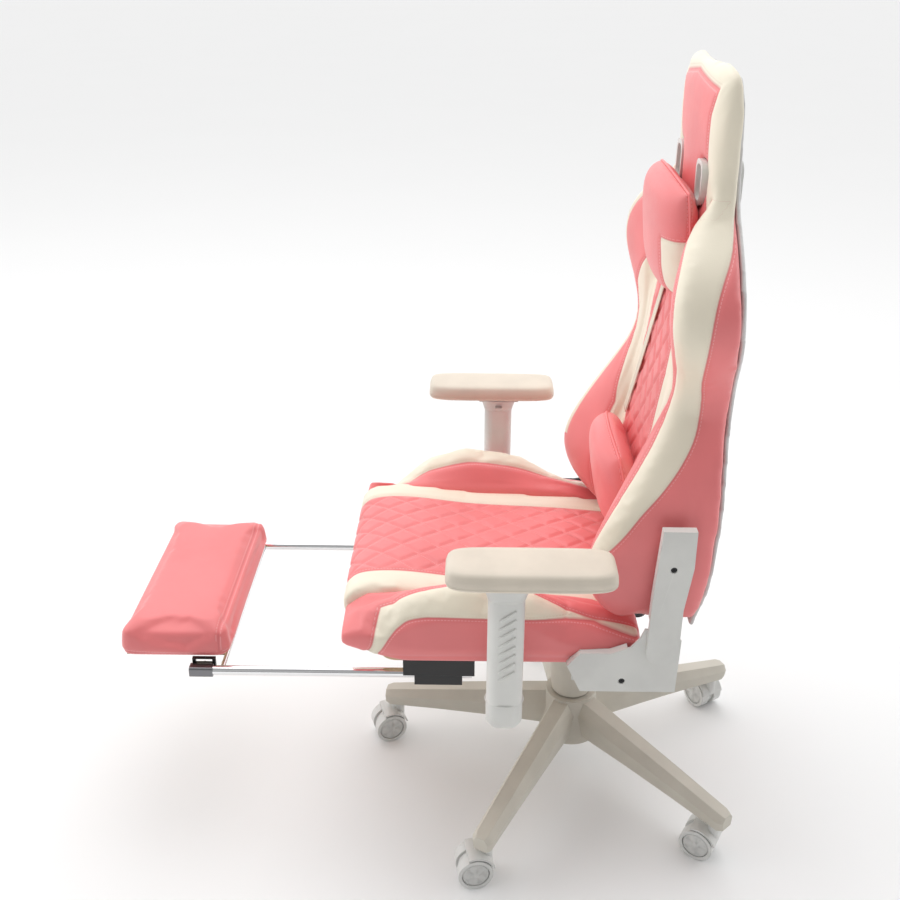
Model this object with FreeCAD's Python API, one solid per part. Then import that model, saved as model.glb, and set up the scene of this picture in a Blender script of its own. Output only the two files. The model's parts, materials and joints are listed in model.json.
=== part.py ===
import FreeCAD, Part
import math
import os

# Racing-style swivel chair with armrests, reclining back and slide-out footrest.
# The chair faces -Y, +X is the sitter's left and +Z is up. Everything is drawn with
# the swivel axis on x = 0, y = 0 and the floor at z = 0, and moved at the end so that
# the origin is the middle of the overall box, on the floor.

V = FreeCAD.Vector
UP = V(0, 0, 1)
LEFT_RIGHT = (("left", 1), ("right", -1))

# ---- Clearances ----
RUN = 0.05            # radial clearance of pins, stems and rods that turn or slide
GAP = 0.3             # clearance between curved or soft faces of different bodies
SLIDE_GAP = 0.5       # clearance around a sliding armrest column

# ---- Casters and five-arm base ----
WHEEL_RADIUS = 29.0
WHEEL_WIDTH = 18.0
WHEEL_SPLIT = 13.0            # gap between the two wheels of a caster
WHEEL_RECESS_DEPTH = 4.0
WHEEL_RIM = 6.0
CASTER_TRAIL = 22.0           # swivel stem to axle
CASTER_STEM_RADIUS = 5.5
AXLE_RADIUS = 3.0
FENDER_CLEARANCE = 2.0        # wheel to the hood around it
FENDER_WALL = 3.0
CASTER_YAW = (290.0, 280.0, 240.0, 210.0, 75.0)   # rest direction of each trail, degrees
BASE_RADIUS = 332.0           # swivel axis to caster stems
BASE_PHASE = -10.5            # first arm from straight ahead, degrees
BASE_ARMS = 5
ARM_END_HEIGHT = 32.0
ARM_END_BOTTOM = 2 * WHEEL_RADIUS + 16.0
ARM_END_TOP = ARM_END_BOTTOM + ARM_END_HEIGHT
ARM_END_WIDTH = 38.0
ARM_ROOT_WIDTH = 52.0
STEM_SOCKET_DEPTH = 26.0

# ---- Gas lift ----
CYLINDER_RADIUS = 25.0
PISTON_RADIUS = 14.0
LIFT_TRAVEL = 80.0
PISTON_GRIP = 64.0            # piston left in the cylinder at full lift
HUB_BOTTOM = ARM_END_BOTTOM - 2.0
HUB_TOP = HUB_BOTTOM + 88.0
HUB_RADIUS = CYLINDER_RADIUS + 21.0
CYLINDER_TOP = HUB_TOP + 76.0
DUST_COVER_WALL = 4.0

# ---- Tilt mechanism ----
BOARD_BOTTOM = 394.0          # underside of the seat board, which sets the seat's height
TILT_PIN_Y = -95.0
TILT_PIN_Z = BOARD_BOTTOM - 34.0
TILT_PIN_RADIUS = 6.0
HOUSING_HALF_WIDTH = 47.0
HOUSING_WALL = 4.0
PISTON_TOP = TILT_PIN_Z - 12.0
PLATE_HALF_WIDTH = 100.0
PLATE_FRONT = TILT_PIN_Y - 37.0
PLATE_REAR = 112.0
PLATE_THICKNESS = 8.0
EAR_THICKNESS = 8.0
KNOB_RADIUS = 24.0
KNOB_LENGTH = 38.0
LEVER_REACH = 176.0           # swivel axis to the tip of the height lever
LEVER_PIN_RADIUS = 2.5
LEVER_Y = -20.0
BOLT_RADIUS = 3.0
BOLT_PLACES = [(x, y) for x in (-80, 80) for y in (-112, 90)]   # seat plate to seat board

# ---- Seat ----
BOARD_THICKNESS = 12.0
SEAT_FRONT = -396.0
SEAT_REAR = 76.0
SEAT_TOP = BOARD_BOTTOM + 92.0   # centre panel, near the front
SEAT_HALF_WIDTH = 256.0
BOARD_HALF_WIDTH = SEAT_HALF_WIDTH - 22.0
BOARD_FRONT = SEAT_FRONT + 60.0
CENTRE_HALF_WIDTH = SEAT_HALF_WIDTH - 82.0
BOLSTER_RISE = 46.0           # bolster crest above the centre panel

# ---- Armrests ----
ARMREST_X = SEAT_HALF_WIDTH + 75.0
ARMREST_Y = -138.0
ARM_TRAVEL = 70.0
SLEEVE_DEPTH = 54.0           # front to back
SLEEVE_WIDTH = 42.0
SLEEVE_WALL = 4.0
SLEEVE_BOTTOM = BOARD_BOTTOM + 8.0
SLEEVE_TOP = SLEEVE_BOTTOM + 182.0
FOOT_CAP_BOTTOM = SLEEVE_BOTTOM - 45.0
COLUMN_GRIP = 110.0           # column left in the sleeve at full height
COLUMN_BOTTOM = SLEEVE_TOP - ARM_TRAVEL - COLUMN_GRIP
COLUMN_TOP = SLEEVE_TOP + 27.0
PAD_LENGTH = 246.0
PAD_WIDTH = 88.0
PAD_THICKNESS = 31.0
PAD_TRAVEL = 48.0
PAD_BACK_Y = ARMREST_Y + 34.0
PAD_REST_Y = {"left": PAD_BACK_Y, "right": PAD_BACK_Y - PAD_TRAVEL}    # left pad back, right pad forward
BAR_THICKNESS = 6.0
ARM_LEVER_PIN_RADIUS = 1.5

# ---- Backrest and hinge ----
PIVOT_Y = 104.0
PIVOT_Z = BOARD_BOTTOM + 57.0
HINGE_PIN_RADIUS = 8.0
HINGE_INNER_X = SEAT_HALF_WIDTH + 2.0
HINGE_PLATE = 5.0
HINGE_PIN_PROUD = 4.0         # pin's end beyond the upper plate
COVER_ROOM = 1.7              # pin's end to the inside of the lower cover
COVER_SKIN = 3.0
BLADE_THICKNESS = 6.0
BACK_BOTTOM = PIVOT_Z + 27.0
BACK_HEIGHT = 825.0
BACK_TOP = BACK_BOTTOM + BACK_HEIGHT
COVER_THICKNESS = 9.0
COVER_BOTTOM = PIVOT_Z + 1.0
COVER_INSET = 16.0            # rear cover inside the foam's outline
CHANNEL_HALF_WIDTH = 132.0    # flat centre panel between the wings
FRAME_TUBE_RADIUS = 9.0
BELT_HOLE_X = 82.0
BELT_HOLE_Z = BACK_TOP - 171.0
BELT_HOLE_WIDTH = 46.0
BELT_HOLE_HEIGHT = 66.0
BEZEL_RIM = 7.0
BEZEL_STAND_OFF = 2.0         # bezel proud of the front and rear coverings
PILLOW_GAP = 5.0              # pillows clear of the back's covering

# ---- Footrest ----
TUBE_X = BOARD_HALF_WIDTH - 40.5
TUBE_Z = BOARD_BOTTOM - 55.0
TUBE_RADIUS = 8.0
FOOTREST_TRAVEL = 240.0
GUIDE_FRONT = SEAT_FRONT + 98.0
GUIDE_REAR = GUIDE_FRONT + 116.0
TUBE_FRONT = GUIDE_FRONT - FOOTREST_TRAVEL - 74.0
TUBE_REAR = GUIDE_REAR - 4.0
CROSS_BAR_RADIUS = 5.0
TIP_HALF_WIDTH = TUBE_RADIUS + 1.0
TIP_FRONT = TUBE_FRONT - 38.0
FLIP_Y = TIP_FRONT + 20.0
FLIP_PIN_RADIUS = 3.0
FOOT_PAD_REAR = TUBE_FRONT + 24.0
FOOT_PAD_FRONT = FOOT_PAD_REAR - 178.0
FOOT_PAD_HALF_WIDTH = TUBE_X - 10.5
FOOT_PAD_BOTTOM = TUBE_Z + TUBE_RADIUS + 8.0
FOOT_PAD_THICKNESS = 49.0
FOOT_BOARD_THICKNESS = 6.0
FOOT_BOARD_INSET = 8.0


# ---- Shape helpers ----

def box(x0, x1, y0, y1, z0, z1):
    return Part.makeBox(x1 - x0, y1 - y0, z1 - z0, V(x0, y0, z0))


def rod(start, direction, radius, length):
    return Part.makeCylinder(radius, length, V(*start), V(*direction))


def rod_x(y, z, radius, x0, x1):
    return rod((x0, y, z), (1, 0, 0), radius, x1 - x0)


def mirror_x(shape):
    return shape.mirror(V(0, 0, 0), V(1, 0, 0))


def sided(shape, side):
    return shape if side > 0 else mirror_x(shape)


def polygon_prism_x(points, x0, x1):
    """Prism along X from an outline of (y, z) points."""
    wire = Part.makePolygon([V(x0, y, z) for y, z in points + points[:1]])
    return Part.Face(wire).extrude(V(x1 - x0, 0, 0))


def outline_prism_x(curved, straight, x0, x1):
    """Prism along X whose outline is a smooth curve closed by straight runs, in (y, z)."""
    spline = Part.BSplineCurve()
    spline.interpolate([V(x0, y, z) for y, z in curved])
    corners = [curved[-1]] + straight + [curved[0]]
    edges = [spline.toShape()]
    for a, b in zip(corners, corners[1:]):
        edges.append(Part.makeLine(V(x0, *a), V(x0, *b)))
    return Part.Face(Part.Wire(edges)).extrude(V(x1 - x0, 0, 0))


def rounded_slab(x0, x1, y0, y1, z0, z1, corner, edge=0.0):
    """Box with rounded upright corners and softened top and bottom edges."""
    slab = box(x0, x1, y0, y1, z0, z1)
    slab = slab.makeFillet(min(corner, (x1 - x0) / 2.01, (y1 - y0) / 2.01), upright_edges(slab))
    if edge:
        level = [e for e in slab.Edges if e.BoundBox.ZLength < 0.01]
        slab = slab.makeFillet(min(edge, (z1 - z0) / 2.2), level)
    return slab


def upright_edges(shape):
    return [e for e in shape.Edges if e.BoundBox.XLength < 0.01 and e.BoundBox.YLength < 0.01]


def oval(width, depth, z0, z1, x=0.0, y=0.0):
    """Upright bar with a rounded-rectangle section."""
    corner = 0.42 * min(width, depth)
    return rounded_slab(x - width / 2, x + width / 2, y - depth / 2, y + depth / 2, z0, z1, corner)


def oval_wire(width, depth, z, x=0.0, y=0.0):
    bar = oval(width, depth, z, z + 1, x, y)
    low = [e for e in bar.Edges if e.BoundBox.ZMax < z + 0.01]
    return Part.Wire(Part.__sortEdges__(low))


def mix(a, b, t):
    return a + (b - a) * t


# ---- Casters ----

def caster_shapes(index):
    """Hood with its stem and axle, and wheel pair, of one caster under the base's socket."""
    outer = WHEEL_SPLIT / 2 + WHEEL_WIDTH
    fender_inner = WHEEL_RADIUS + FENDER_CLEARANCE
    web_radius = WHEEL_RADIUS - 4.0
    axle_z = WHEEL_RADIUS

    # Drawn with the trail along +X, the axle along Y and the stem at the origin.
    web_half = WHEEL_SPLIT / 2 - 1.0
    web = rod((CASTER_TRAIL, -web_half, axle_z), (0, 1, 0), web_radius, 2 * web_half)
    ring = rod((CASTER_TRAIL, -outer + 1, axle_z), (0, 1, 0), fender_inner + FENDER_WALL,
               2 * outer - 2)
    ring = ring.cut(rod((CASTER_TRAIL, -outer, axle_z), (0, 1, 0), fender_inner, 2 * outer))
    keep = box(CASTER_TRAIL - 60, CASTER_TRAIL + 12, -60, 60, axle_z + 10, axle_z + 60)
    fender = ring.common(keep)
    bridge = rod((CASTER_TRAIL, -web_half, axle_z), (0, 1, 0), fender_inner + 1, 2 * web_half)
    bridge = bridge.common(keep)
    boss = rod((0, 0, axle_z + 8), (0, 0, 1), 10.0, ARM_END_BOTTOM - axle_z - 10)
    wheel_clear = wheel_disc(outer + 1, -outer - 1, fender_inner, axle_z)
    middle = box(-20, 60, -web_half, web_half, 0, 100)
    boss = boss.cut(wheel_clear.cut(middle))
    hood = web.fuse([fender, bridge, boss]).removeSplitter()

    stem = rod((0, 0, axle_z + 14), (0, 0, 1), CASTER_STEM_RADIUS,
               ARM_END_BOTTOM + STEM_SOCKET_DEPTH - 1 - axle_z - 14)
    axle = rod((CASTER_TRAIL, -outer + WHEEL_RECESS_DEPTH, axle_z), (0, 1, 0), AXLE_RADIUS,
               2 * (outer - WHEEL_RECESS_DEPTH))
    hood = hood.cut(stem).cut(axle)

    wheels = []
    for side in (1, -1):
        y_in = side * WHEEL_SPLIT / 2
        wheel = wheel_disc(y_in, y_in + side * WHEEL_WIDTH, WHEEL_RADIUS, axle_z)
        rim = wheel_disc(y_in + side * (WHEEL_WIDTH - WHEEL_RECESS_DEPTH),
                         y_in + side * (WHEEL_WIDTH + 1), WHEEL_RADIUS - WHEEL_RIM, axle_z)
        wheel = wheel.cut(rim)
        wheel = wheel.cut(wheel_disc(y_in - side, y_in + side * (WHEEL_WIDTH + 1),
                                     AXLE_RADIUS + RUN, axle_z))
        wheels.append(wheel)

    x, y = socket_place(index)
    placed = {}
    for name, shape in (("caster_hood", Part.Compound([hood, stem, axle])),
                        ("caster_wheels", Part.Compound(wheels))):
        shape = shape.copy()
        shape.rotate(V(0, 0, 0), UP, CASTER_YAW[index])
        shape.translate(V(x, y, 0))
        placed["%s_%d" % (name, index + 1)] = shape
    return placed


def wheel_disc(y0, y1, radius, axle_z):
    low = min(y0, y1)
    return rod((CASTER_TRAIL, low, axle_z), (0, 1, 0), radius, abs(y1 - y0))


def arm_angle(index):
    """Direction of a base arm, in degrees from +X."""
    return -90.0 + BASE_PHASE + index * 360.0 / BASE_ARMS


def socket_place(index):
    angle = math.radians(arm_angle(index))
    return BASE_RADIUS * math.cos(angle), BASE_RADIUS * math.sin(angle)


# ---- Base and gas lift ----

def base_arm_section(reach, width, z_low, z_high):
    """Six-sided arm section with a narrow crown, facing along +X."""
    half = width / 2
    mid = mix(z_low, z_high, 0.62)
    points = [(-half * 0.8, z_low), (half * 0.8, z_low), (half, mid),
              (half * 0.55, z_high), (-half * 0.55, z_high), (-half, mid)]
    return Part.makePolygon([V(reach, y, z) for y, z in points + points[:1]])


def star_base():
    end_low = ARM_END_BOTTOM
    tip = BASE_RADIUS + 24.0
    root = CYLINDER_RADIUS + 2.0
    stations = (
        (root, ARM_ROOT_WIDTH, HUB_BOTTOM + 14, HUB_TOP - 2),
        (mix(root, tip, 0.5), mix(ARM_ROOT_WIDTH, ARM_END_WIDTH, 0.5),
         end_low + 9, mix(HUB_TOP, ARM_END_TOP, 0.52)),
        (tip - 10.0, ARM_END_WIDTH, end_low, ARM_END_TOP),
        (tip, ARM_END_WIDTH - 10, end_low + 3, ARM_END_TOP - 4),
    )
    body = Part.makeLoft([base_arm_section(*s) for s in stations[:3]], True, False)
    end = Part.makeLoft([base_arm_section(*s) for s in stations[2:]], True, True)
    arm = body.fuse(end)
    base = Part.makeCone(HUB_RADIUS + 10, HUB_RADIUS, HUB_TOP - HUB_BOTTOM, V(0, 0, HUB_BOTTOM))
    for index in range(BASE_ARMS):
        turned = arm.copy()
        turned.rotate(V(0, 0, 0), UP, arm_angle(index))
        base = base.fuse(turned)
    for index in range(BASE_ARMS):
        x, y = socket_place(index)
        base = base.cut(rod((x, y, end_low - 1), (0, 0, 1), CASTER_STEM_RADIUS + RUN,
                            STEM_SOCKET_DEPTH + 1))
    return base.cut(rod((0, 0, 0), (0, 0, 1), CYLINDER_RADIUS, HUB_TOP + 50))


def gas_lift_shapes():
    cylinder = rod((0, 0, HUB_BOTTOM - 4), (0, 0, 1), CYLINDER_RADIUS, CYLINDER_TOP - HUB_BOTTOM + 4)
    bore = rod((0, 0, HUB_BOTTOM + 10), (0, 0, 1), PISTON_RADIUS + RUN, CYLINDER_TOP)
    cylinder = cylinder.cut(bore)
    piston_bottom = CYLINDER_TOP - LIFT_TRAVEL - PISTON_GRIP
    piston = rod((0, 0, piston_bottom), (0, 0, 1), PISTON_RADIUS, PISTON_TOP - piston_bottom)
    lower_outer = CYLINDER_RADIUS + DUST_COVER_WALL
    lower = rod((0, 0, HUB_TOP), (0, 0, 1), lower_outer, CYLINDER_TOP + 6 - HUB_TOP)
    lower = lower.cut(rod((0, 0, HUB_TOP - 1), (0, 0, 1), CYLINDER_RADIUS, 200))
    cone_low = HUB_TOP + 3
    cone_high = TILT_PIN_Z - 60
    cone_inner = lower_outer + 3
    flare = 14
    wall = DUST_COVER_WALL
    upper = Part.makeCone(cone_inner + wall, cone_inner + wall + flare, cone_high - cone_low,
                          V(0, 0, cone_low))
    upper = upper.cut(Part.makeCone(cone_inner, cone_inner + flare, cone_high - wall - cone_low,
                                    V(0, 0, cone_low)))
    upper = upper.cut(rod((0, 0, cone_high - wall - 1), (0, 0, 1), PISTON_RADIUS + GAP, wall + 2))
    return {"gas_cylinder": cylinder, "gas_piston": piston,
            "dust_cover_lower": lower, "dust_cover_upper": upper}


# ---- Tilt mechanism ----

def mechanism_shapes():
    housing = tilt_housing()
    pin_half = HOUSING_HALF_WIDTH + EAR_THICKNESS + 6
    pin = rod_x(TILT_PIN_Y, TILT_PIN_Z, TILT_PIN_RADIUS, -pin_half, pin_half)
    housing = housing.cut(pin)
    lever, lever_mount = height_lever()
    housing = housing.fuse(lever_mount)
    return {"tilt_housing": housing, "tilt_pin": pin, "seat_plate": seat_plate(),
            "tension_knob": tension_knob(), "height_lever": lever}


def tilt_housing():
    """Pressed-steel channel, open underneath, with a socket for the gas piston."""
    top = TILT_PIN_Z + 14
    front = TILT_PIN_Y - 23
    rear = 72
    outline = [(front, TILT_PIN_Z - 24), (front, top), (front + 46, top), (rear, TILT_PIN_Z - 24),
               (rear, TILT_PIN_Z - 42), (-50, TILT_PIN_Z - 54)]
    housing = polygon_prism_x(outline, -HOUSING_HALF_WIDTH, HOUSING_HALF_WIDTH)
    hollow = inset_outline(outline, HOUSING_WALL)
    inner_half = HOUSING_HALF_WIDTH - HOUSING_WALL
    housing = housing.cut(polygon_prism_x(hollow, -inner_half, inner_half))
    socket = rod((0, 0, TILT_PIN_Z - 47), (0, 0, 1), PISTON_RADIUS + 10, PISTON_TOP + 8 - TILT_PIN_Z + 47)
    housing = housing.fuse(socket)
    return housing.cut(rod((0, 0, 250), (0, 0, 1), PISTON_RADIUS + RUN, PISTON_TOP + 0.5 - 250))


def seat_plate():
    plate_bottom = BOARD_BOTTOM - PLATE_THICKNESS
    plate = rounded_slab(-PLATE_HALF_WIDTH, PLATE_HALF_WIDTH, PLATE_FRONT, PLATE_REAR,
                         plate_bottom, BOARD_BOTTOM, 18)
    ear_x = HOUSING_HALF_WIDTH + GAP
    for side in (1, -1):
        ear = box(ear_x, ear_x + EAR_THICKNESS, TILT_PIN_Y - 16, TILT_PIN_Y + 20,
                  TILT_PIN_Z - 14, plate_bottom)
        plate = plate.fuse(sided(ear, side))
    plate = plate.cut(rod_x(TILT_PIN_Y, TILT_PIN_Z, TILT_PIN_RADIUS + RUN, -200, 200))
    for x, y in BOLT_PLACES:
        plate = plate.cut(rod((x, y, plate_bottom - 1), (0, 0, 1), BOLT_RADIUS, PLATE_THICKNESS + 2))
    return plate


def tension_knob():
    """Fluted knob in front of the housing, on a short spindle."""
    rear = TILT_PIN_Y - 35
    front = rear - KNOB_LENGTH
    z = TILT_PIN_Z - 18
    knob = rod((0, front, z), (0, 1, 0), KNOB_RADIUS, KNOB_LENGTH)
    flutes = 8
    for step in range(flutes):
        angle = 2 * math.pi * step / flutes
        place = (KNOB_RADIUS + 3) * math.cos(angle), front - 1, z + (KNOB_RADIUS + 3) * math.sin(angle)
        knob = knob.cut(rod(place, (0, 1, 0), 6, KNOB_LENGTH + 2))
    return knob.fuse(rod((0, rear, z), (0, 1, 0), 7, 11))


def height_lever():
    """Lever on the sitter's right and the lugs and pin that carry it on the housing."""
    z = TILT_PIN_Z - 22
    pivot_x = -HOUSING_HALF_WIDTH - 8
    pin = rod((pivot_x, LEVER_Y - 14, z), (0, 1, 0), LEVER_PIN_RADIUS, 28)
    mount = pin
    for y in (LEVER_Y - 14, LEVER_Y + 9):
        mount = mount.fuse(box(pivot_x - 6, -HOUSING_HALF_WIDTH, y, y + 5, z - 6, z + 6))
    barrel = rod((pivot_x, LEVER_Y - 8, z), (0, 1, 0), 6, 16)
    arm = rod_x(LEVER_Y, z, 5, -LEVER_REACH + 40, pivot_x)
    paddle = rounded_slab(-LEVER_REACH, -LEVER_REACH + 46, LEVER_Y - 14, LEVER_Y + 14,
                          z - 6, z + 6, 10, 3)
    lever = barrel.fuse([arm, paddle])
    bore = rod((pivot_x, LEVER_Y - 9, z), (0, 1, 0), LEVER_PIN_RADIUS + RUN, 18)
    return lever.cut(bore), mount


# ---- Seat ----

def seat_shapes():
    board_top = BOARD_BOTTOM + BOARD_THICKNESS
    board = rounded_slab(-BOARD_HALF_WIDTH, BOARD_HALF_WIDTH, BOARD_FRONT, SEAT_REAR - 14,
                         BOARD_BOTTOM, board_top, 30)
    bolts = []
    for x, y in BOLT_PLACES:
        head = rod((x, y, BOARD_BOTTOM - PLATE_THICKNESS - 5), (0, 0, 1), 6.5, 5)
        shank = rod((x, y, BOARD_BOTTOM - PLATE_THICKNESS - 1), (0, 0, 1), BOLT_RADIUS,
                    PLATE_THICKNESS + 9)
        bolts.append(head.fuse(shank))
        board = board.cut(shank)
    bolts = Part.Compound(bolts)

    curved = [(SEAT_REAR, SEAT_TOP - 24), (-40, SEAT_TOP - 14), (-220, SEAT_TOP - 4),
              (SEAT_FRONT + 44, SEAT_TOP + 5), (SEAT_FRONT + 9, SEAT_TOP - 8),
              (SEAT_FRONT, SEAT_TOP - 32), (SEAT_FRONT + 14, SEAT_TOP - 58),
              (BOARD_FRONT, board_top)]
    cushion = outline_prism_x(curved, [(SEAT_REAR, board_top)], -CENTRE_HALF_WIDTH, CENTRE_HALF_WIDTH)

    shapes = {"seat_board": board, "seat_bolts": bolts, "seat_cushion": cushion}
    for name, side in LEFT_RIGHT:
        shapes["seat_bolster_" + name] = sided(seat_bolster(board_top), side)
    return shapes


def seat_bolster(bottom):
    """Raised side roll: sections across the seat, lofted from front to rear."""
    inner = CENTRE_HALF_WIDTH + GAP
    crest = SEAT_TOP + BOLSTER_RISE
    # y, crest height, height at the outer edge, height of the underside
    stations = ((SEAT_FRONT + 6, SEAT_TOP - 26, SEAT_TOP - 34, SEAT_TOP - 50),
                (SEAT_FRONT + 40, SEAT_TOP + 4, SEAT_TOP - 12, bottom + 16),
                (SEAT_FRONT + 100, crest - 16, crest - 36, bottom),
                (SEAT_FRONT + 190, crest, crest - 22, bottom),
                (SEAT_FRONT + 300, crest - 12, crest - 32, bottom),
                (SEAT_FRONT + 390, SEAT_TOP - 6, SEAT_TOP - 16, bottom),
                (SEAT_REAR, SEAT_TOP - 30, SEAT_TOP - 36, bottom))
    wires = []
    for y, top, edge, low in stations:
        inner_top = min(top - 3, SEAT_TOP - 6)
        points = [(inner, low), (SEAT_HALF_WIDTH - 6, low), (SEAT_HALF_WIDTH, low + 8),
                  (SEAT_HALF_WIDTH, edge), (SEAT_HALF_WIDTH - 14, top), (SEAT_HALF_WIDTH - 36, top),
                  (inner, inner_top)]
        wires.append(Part.makePolygon([V(x, y, z) for x, z in points + points[:1]]))
    return Part.makeLoft(wires, True, True)


# ---- Armrests ----

def armrest_shapes(name, side):
    x = ARMREST_X
    y = ARMREST_Y
    half_depth = SLEEVE_DEPTH / 2
    inner_x = x - SLEEVE_WIDTH / 2

    cap_grow = 1.0
    flange_x = inner_x - cap_grow / 2
    bar = box(PLATE_HALF_WIDTH + 8, flange_x, y - 25, y + 25, BOARD_BOTTOM - BAR_THICKNESS, BOARD_BOTTOM)
    flange = box(flange_x - BAR_THICKNESS, flange_x, y - 20, y + 20, BOARD_BOTTOM - 14, BOARD_BOTTOM + 36)
    bracket = bar.fuse(flange)
    bracket = bracket.fuse(box(flange_x, inner_x, y - 12, y + 12, SLEEVE_BOTTOM + 5, BOARD_BOTTOM + 36))

    bore_width = SLEEVE_WIDTH - 2 * SLEEVE_WALL
    bore_depth = SLEEVE_DEPTH - 2 * SLEEVE_WALL
    sleeve = oval(SLEEVE_WIDTH, SLEEVE_DEPTH, SLEEVE_BOTTOM, SLEEVE_TOP, x, y)
    sleeve = sleeve.cut(oval(bore_width, bore_depth, SLEEVE_BOTTOM - 1, SLEEVE_TOP + 1, x, y))
    cap_wires = [oval_wire(SLEEVE_WIDTH - 10, SLEEVE_DEPTH - 12, FOOT_CAP_BOTTOM, x, y),
                 oval_wire(SLEEVE_WIDTH + cap_grow, SLEEVE_DEPTH + cap_grow, FOOT_CAP_BOTTOM + 10, x, y),
                 oval_wire(SLEEVE_WIDTH + cap_grow, SLEEVE_DEPTH + cap_grow, SLEEVE_BOTTOM, x, y)]
    cap = Part.makeLoft(cap_wires, True, True)

    slide_width = bore_width - 2 * SLIDE_GAP
    slide_depth = bore_depth - 2 * SLIDE_GAP
    column = oval(slide_width, slide_depth, COLUMN_BOTTOM, SLEEVE_TOP + GAP, x, y)
    head = Part.makeLoft([oval_wire(SLEEVE_WIDTH - 1, SLEEVE_DEPTH - 1, SLEEVE_TOP + GAP, x, y),
                          oval_wire(SLEEVE_WIDTH + 10, SLEEVE_DEPTH + 12, COLUMN_TOP - 6, x, y)],
                         True, True)
    rail = box(x - 24, x + 24, y - 38, y + 38, COLUMN_TOP - 6, COLUMN_TOP)
    column = column.fuse([head, rail])

    lever_z = SLEEVE_TOP + 10
    slot = box(inner_x - 20, inner_x + 9, y - 7, y + 7, lever_z - 4, lever_z + 5)
    column = column.cut(slot)
    lever = box(inner_x - 14, inner_x + 8, y - 6.5, y + 6.5, lever_z - 3, lever_z + 2)
    pin = rod((inner_x + 4, y - 9, lever_z - 0.5), (0, 1, 0), ARM_LEVER_PIN_RADIUS, 18)
    lever = lever.cut(rod((inner_x + 4, y - 9, lever_z - 0.5), (0, 1, 0), ARM_LEVER_PIN_RADIUS + RUN, 18))
    column = column.fuse(pin)

    pad_y = PAD_REST_Y[name]
    pad = rounded_slab(x - PAD_WIDTH / 2, x + PAD_WIDTH / 2, pad_y - PAD_LENGTH / 2,
                       pad_y + PAD_LENGTH / 2, COLUMN_TOP + GAP, COLUMN_TOP + GAP + PAD_THICKNESS,
                       26, 7)
    parts = {"arm_bracket": bracket, "arm_sleeve": sleeve, "arm_foot_cap": cap,
             "arm_column": column, "arm_lever": lever, "arm_pad": pad}
    return {"%s_%s" % (key, name): sided(shape, side) for key, shape in parts.items()}


# ---- Recline hinge ----

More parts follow.
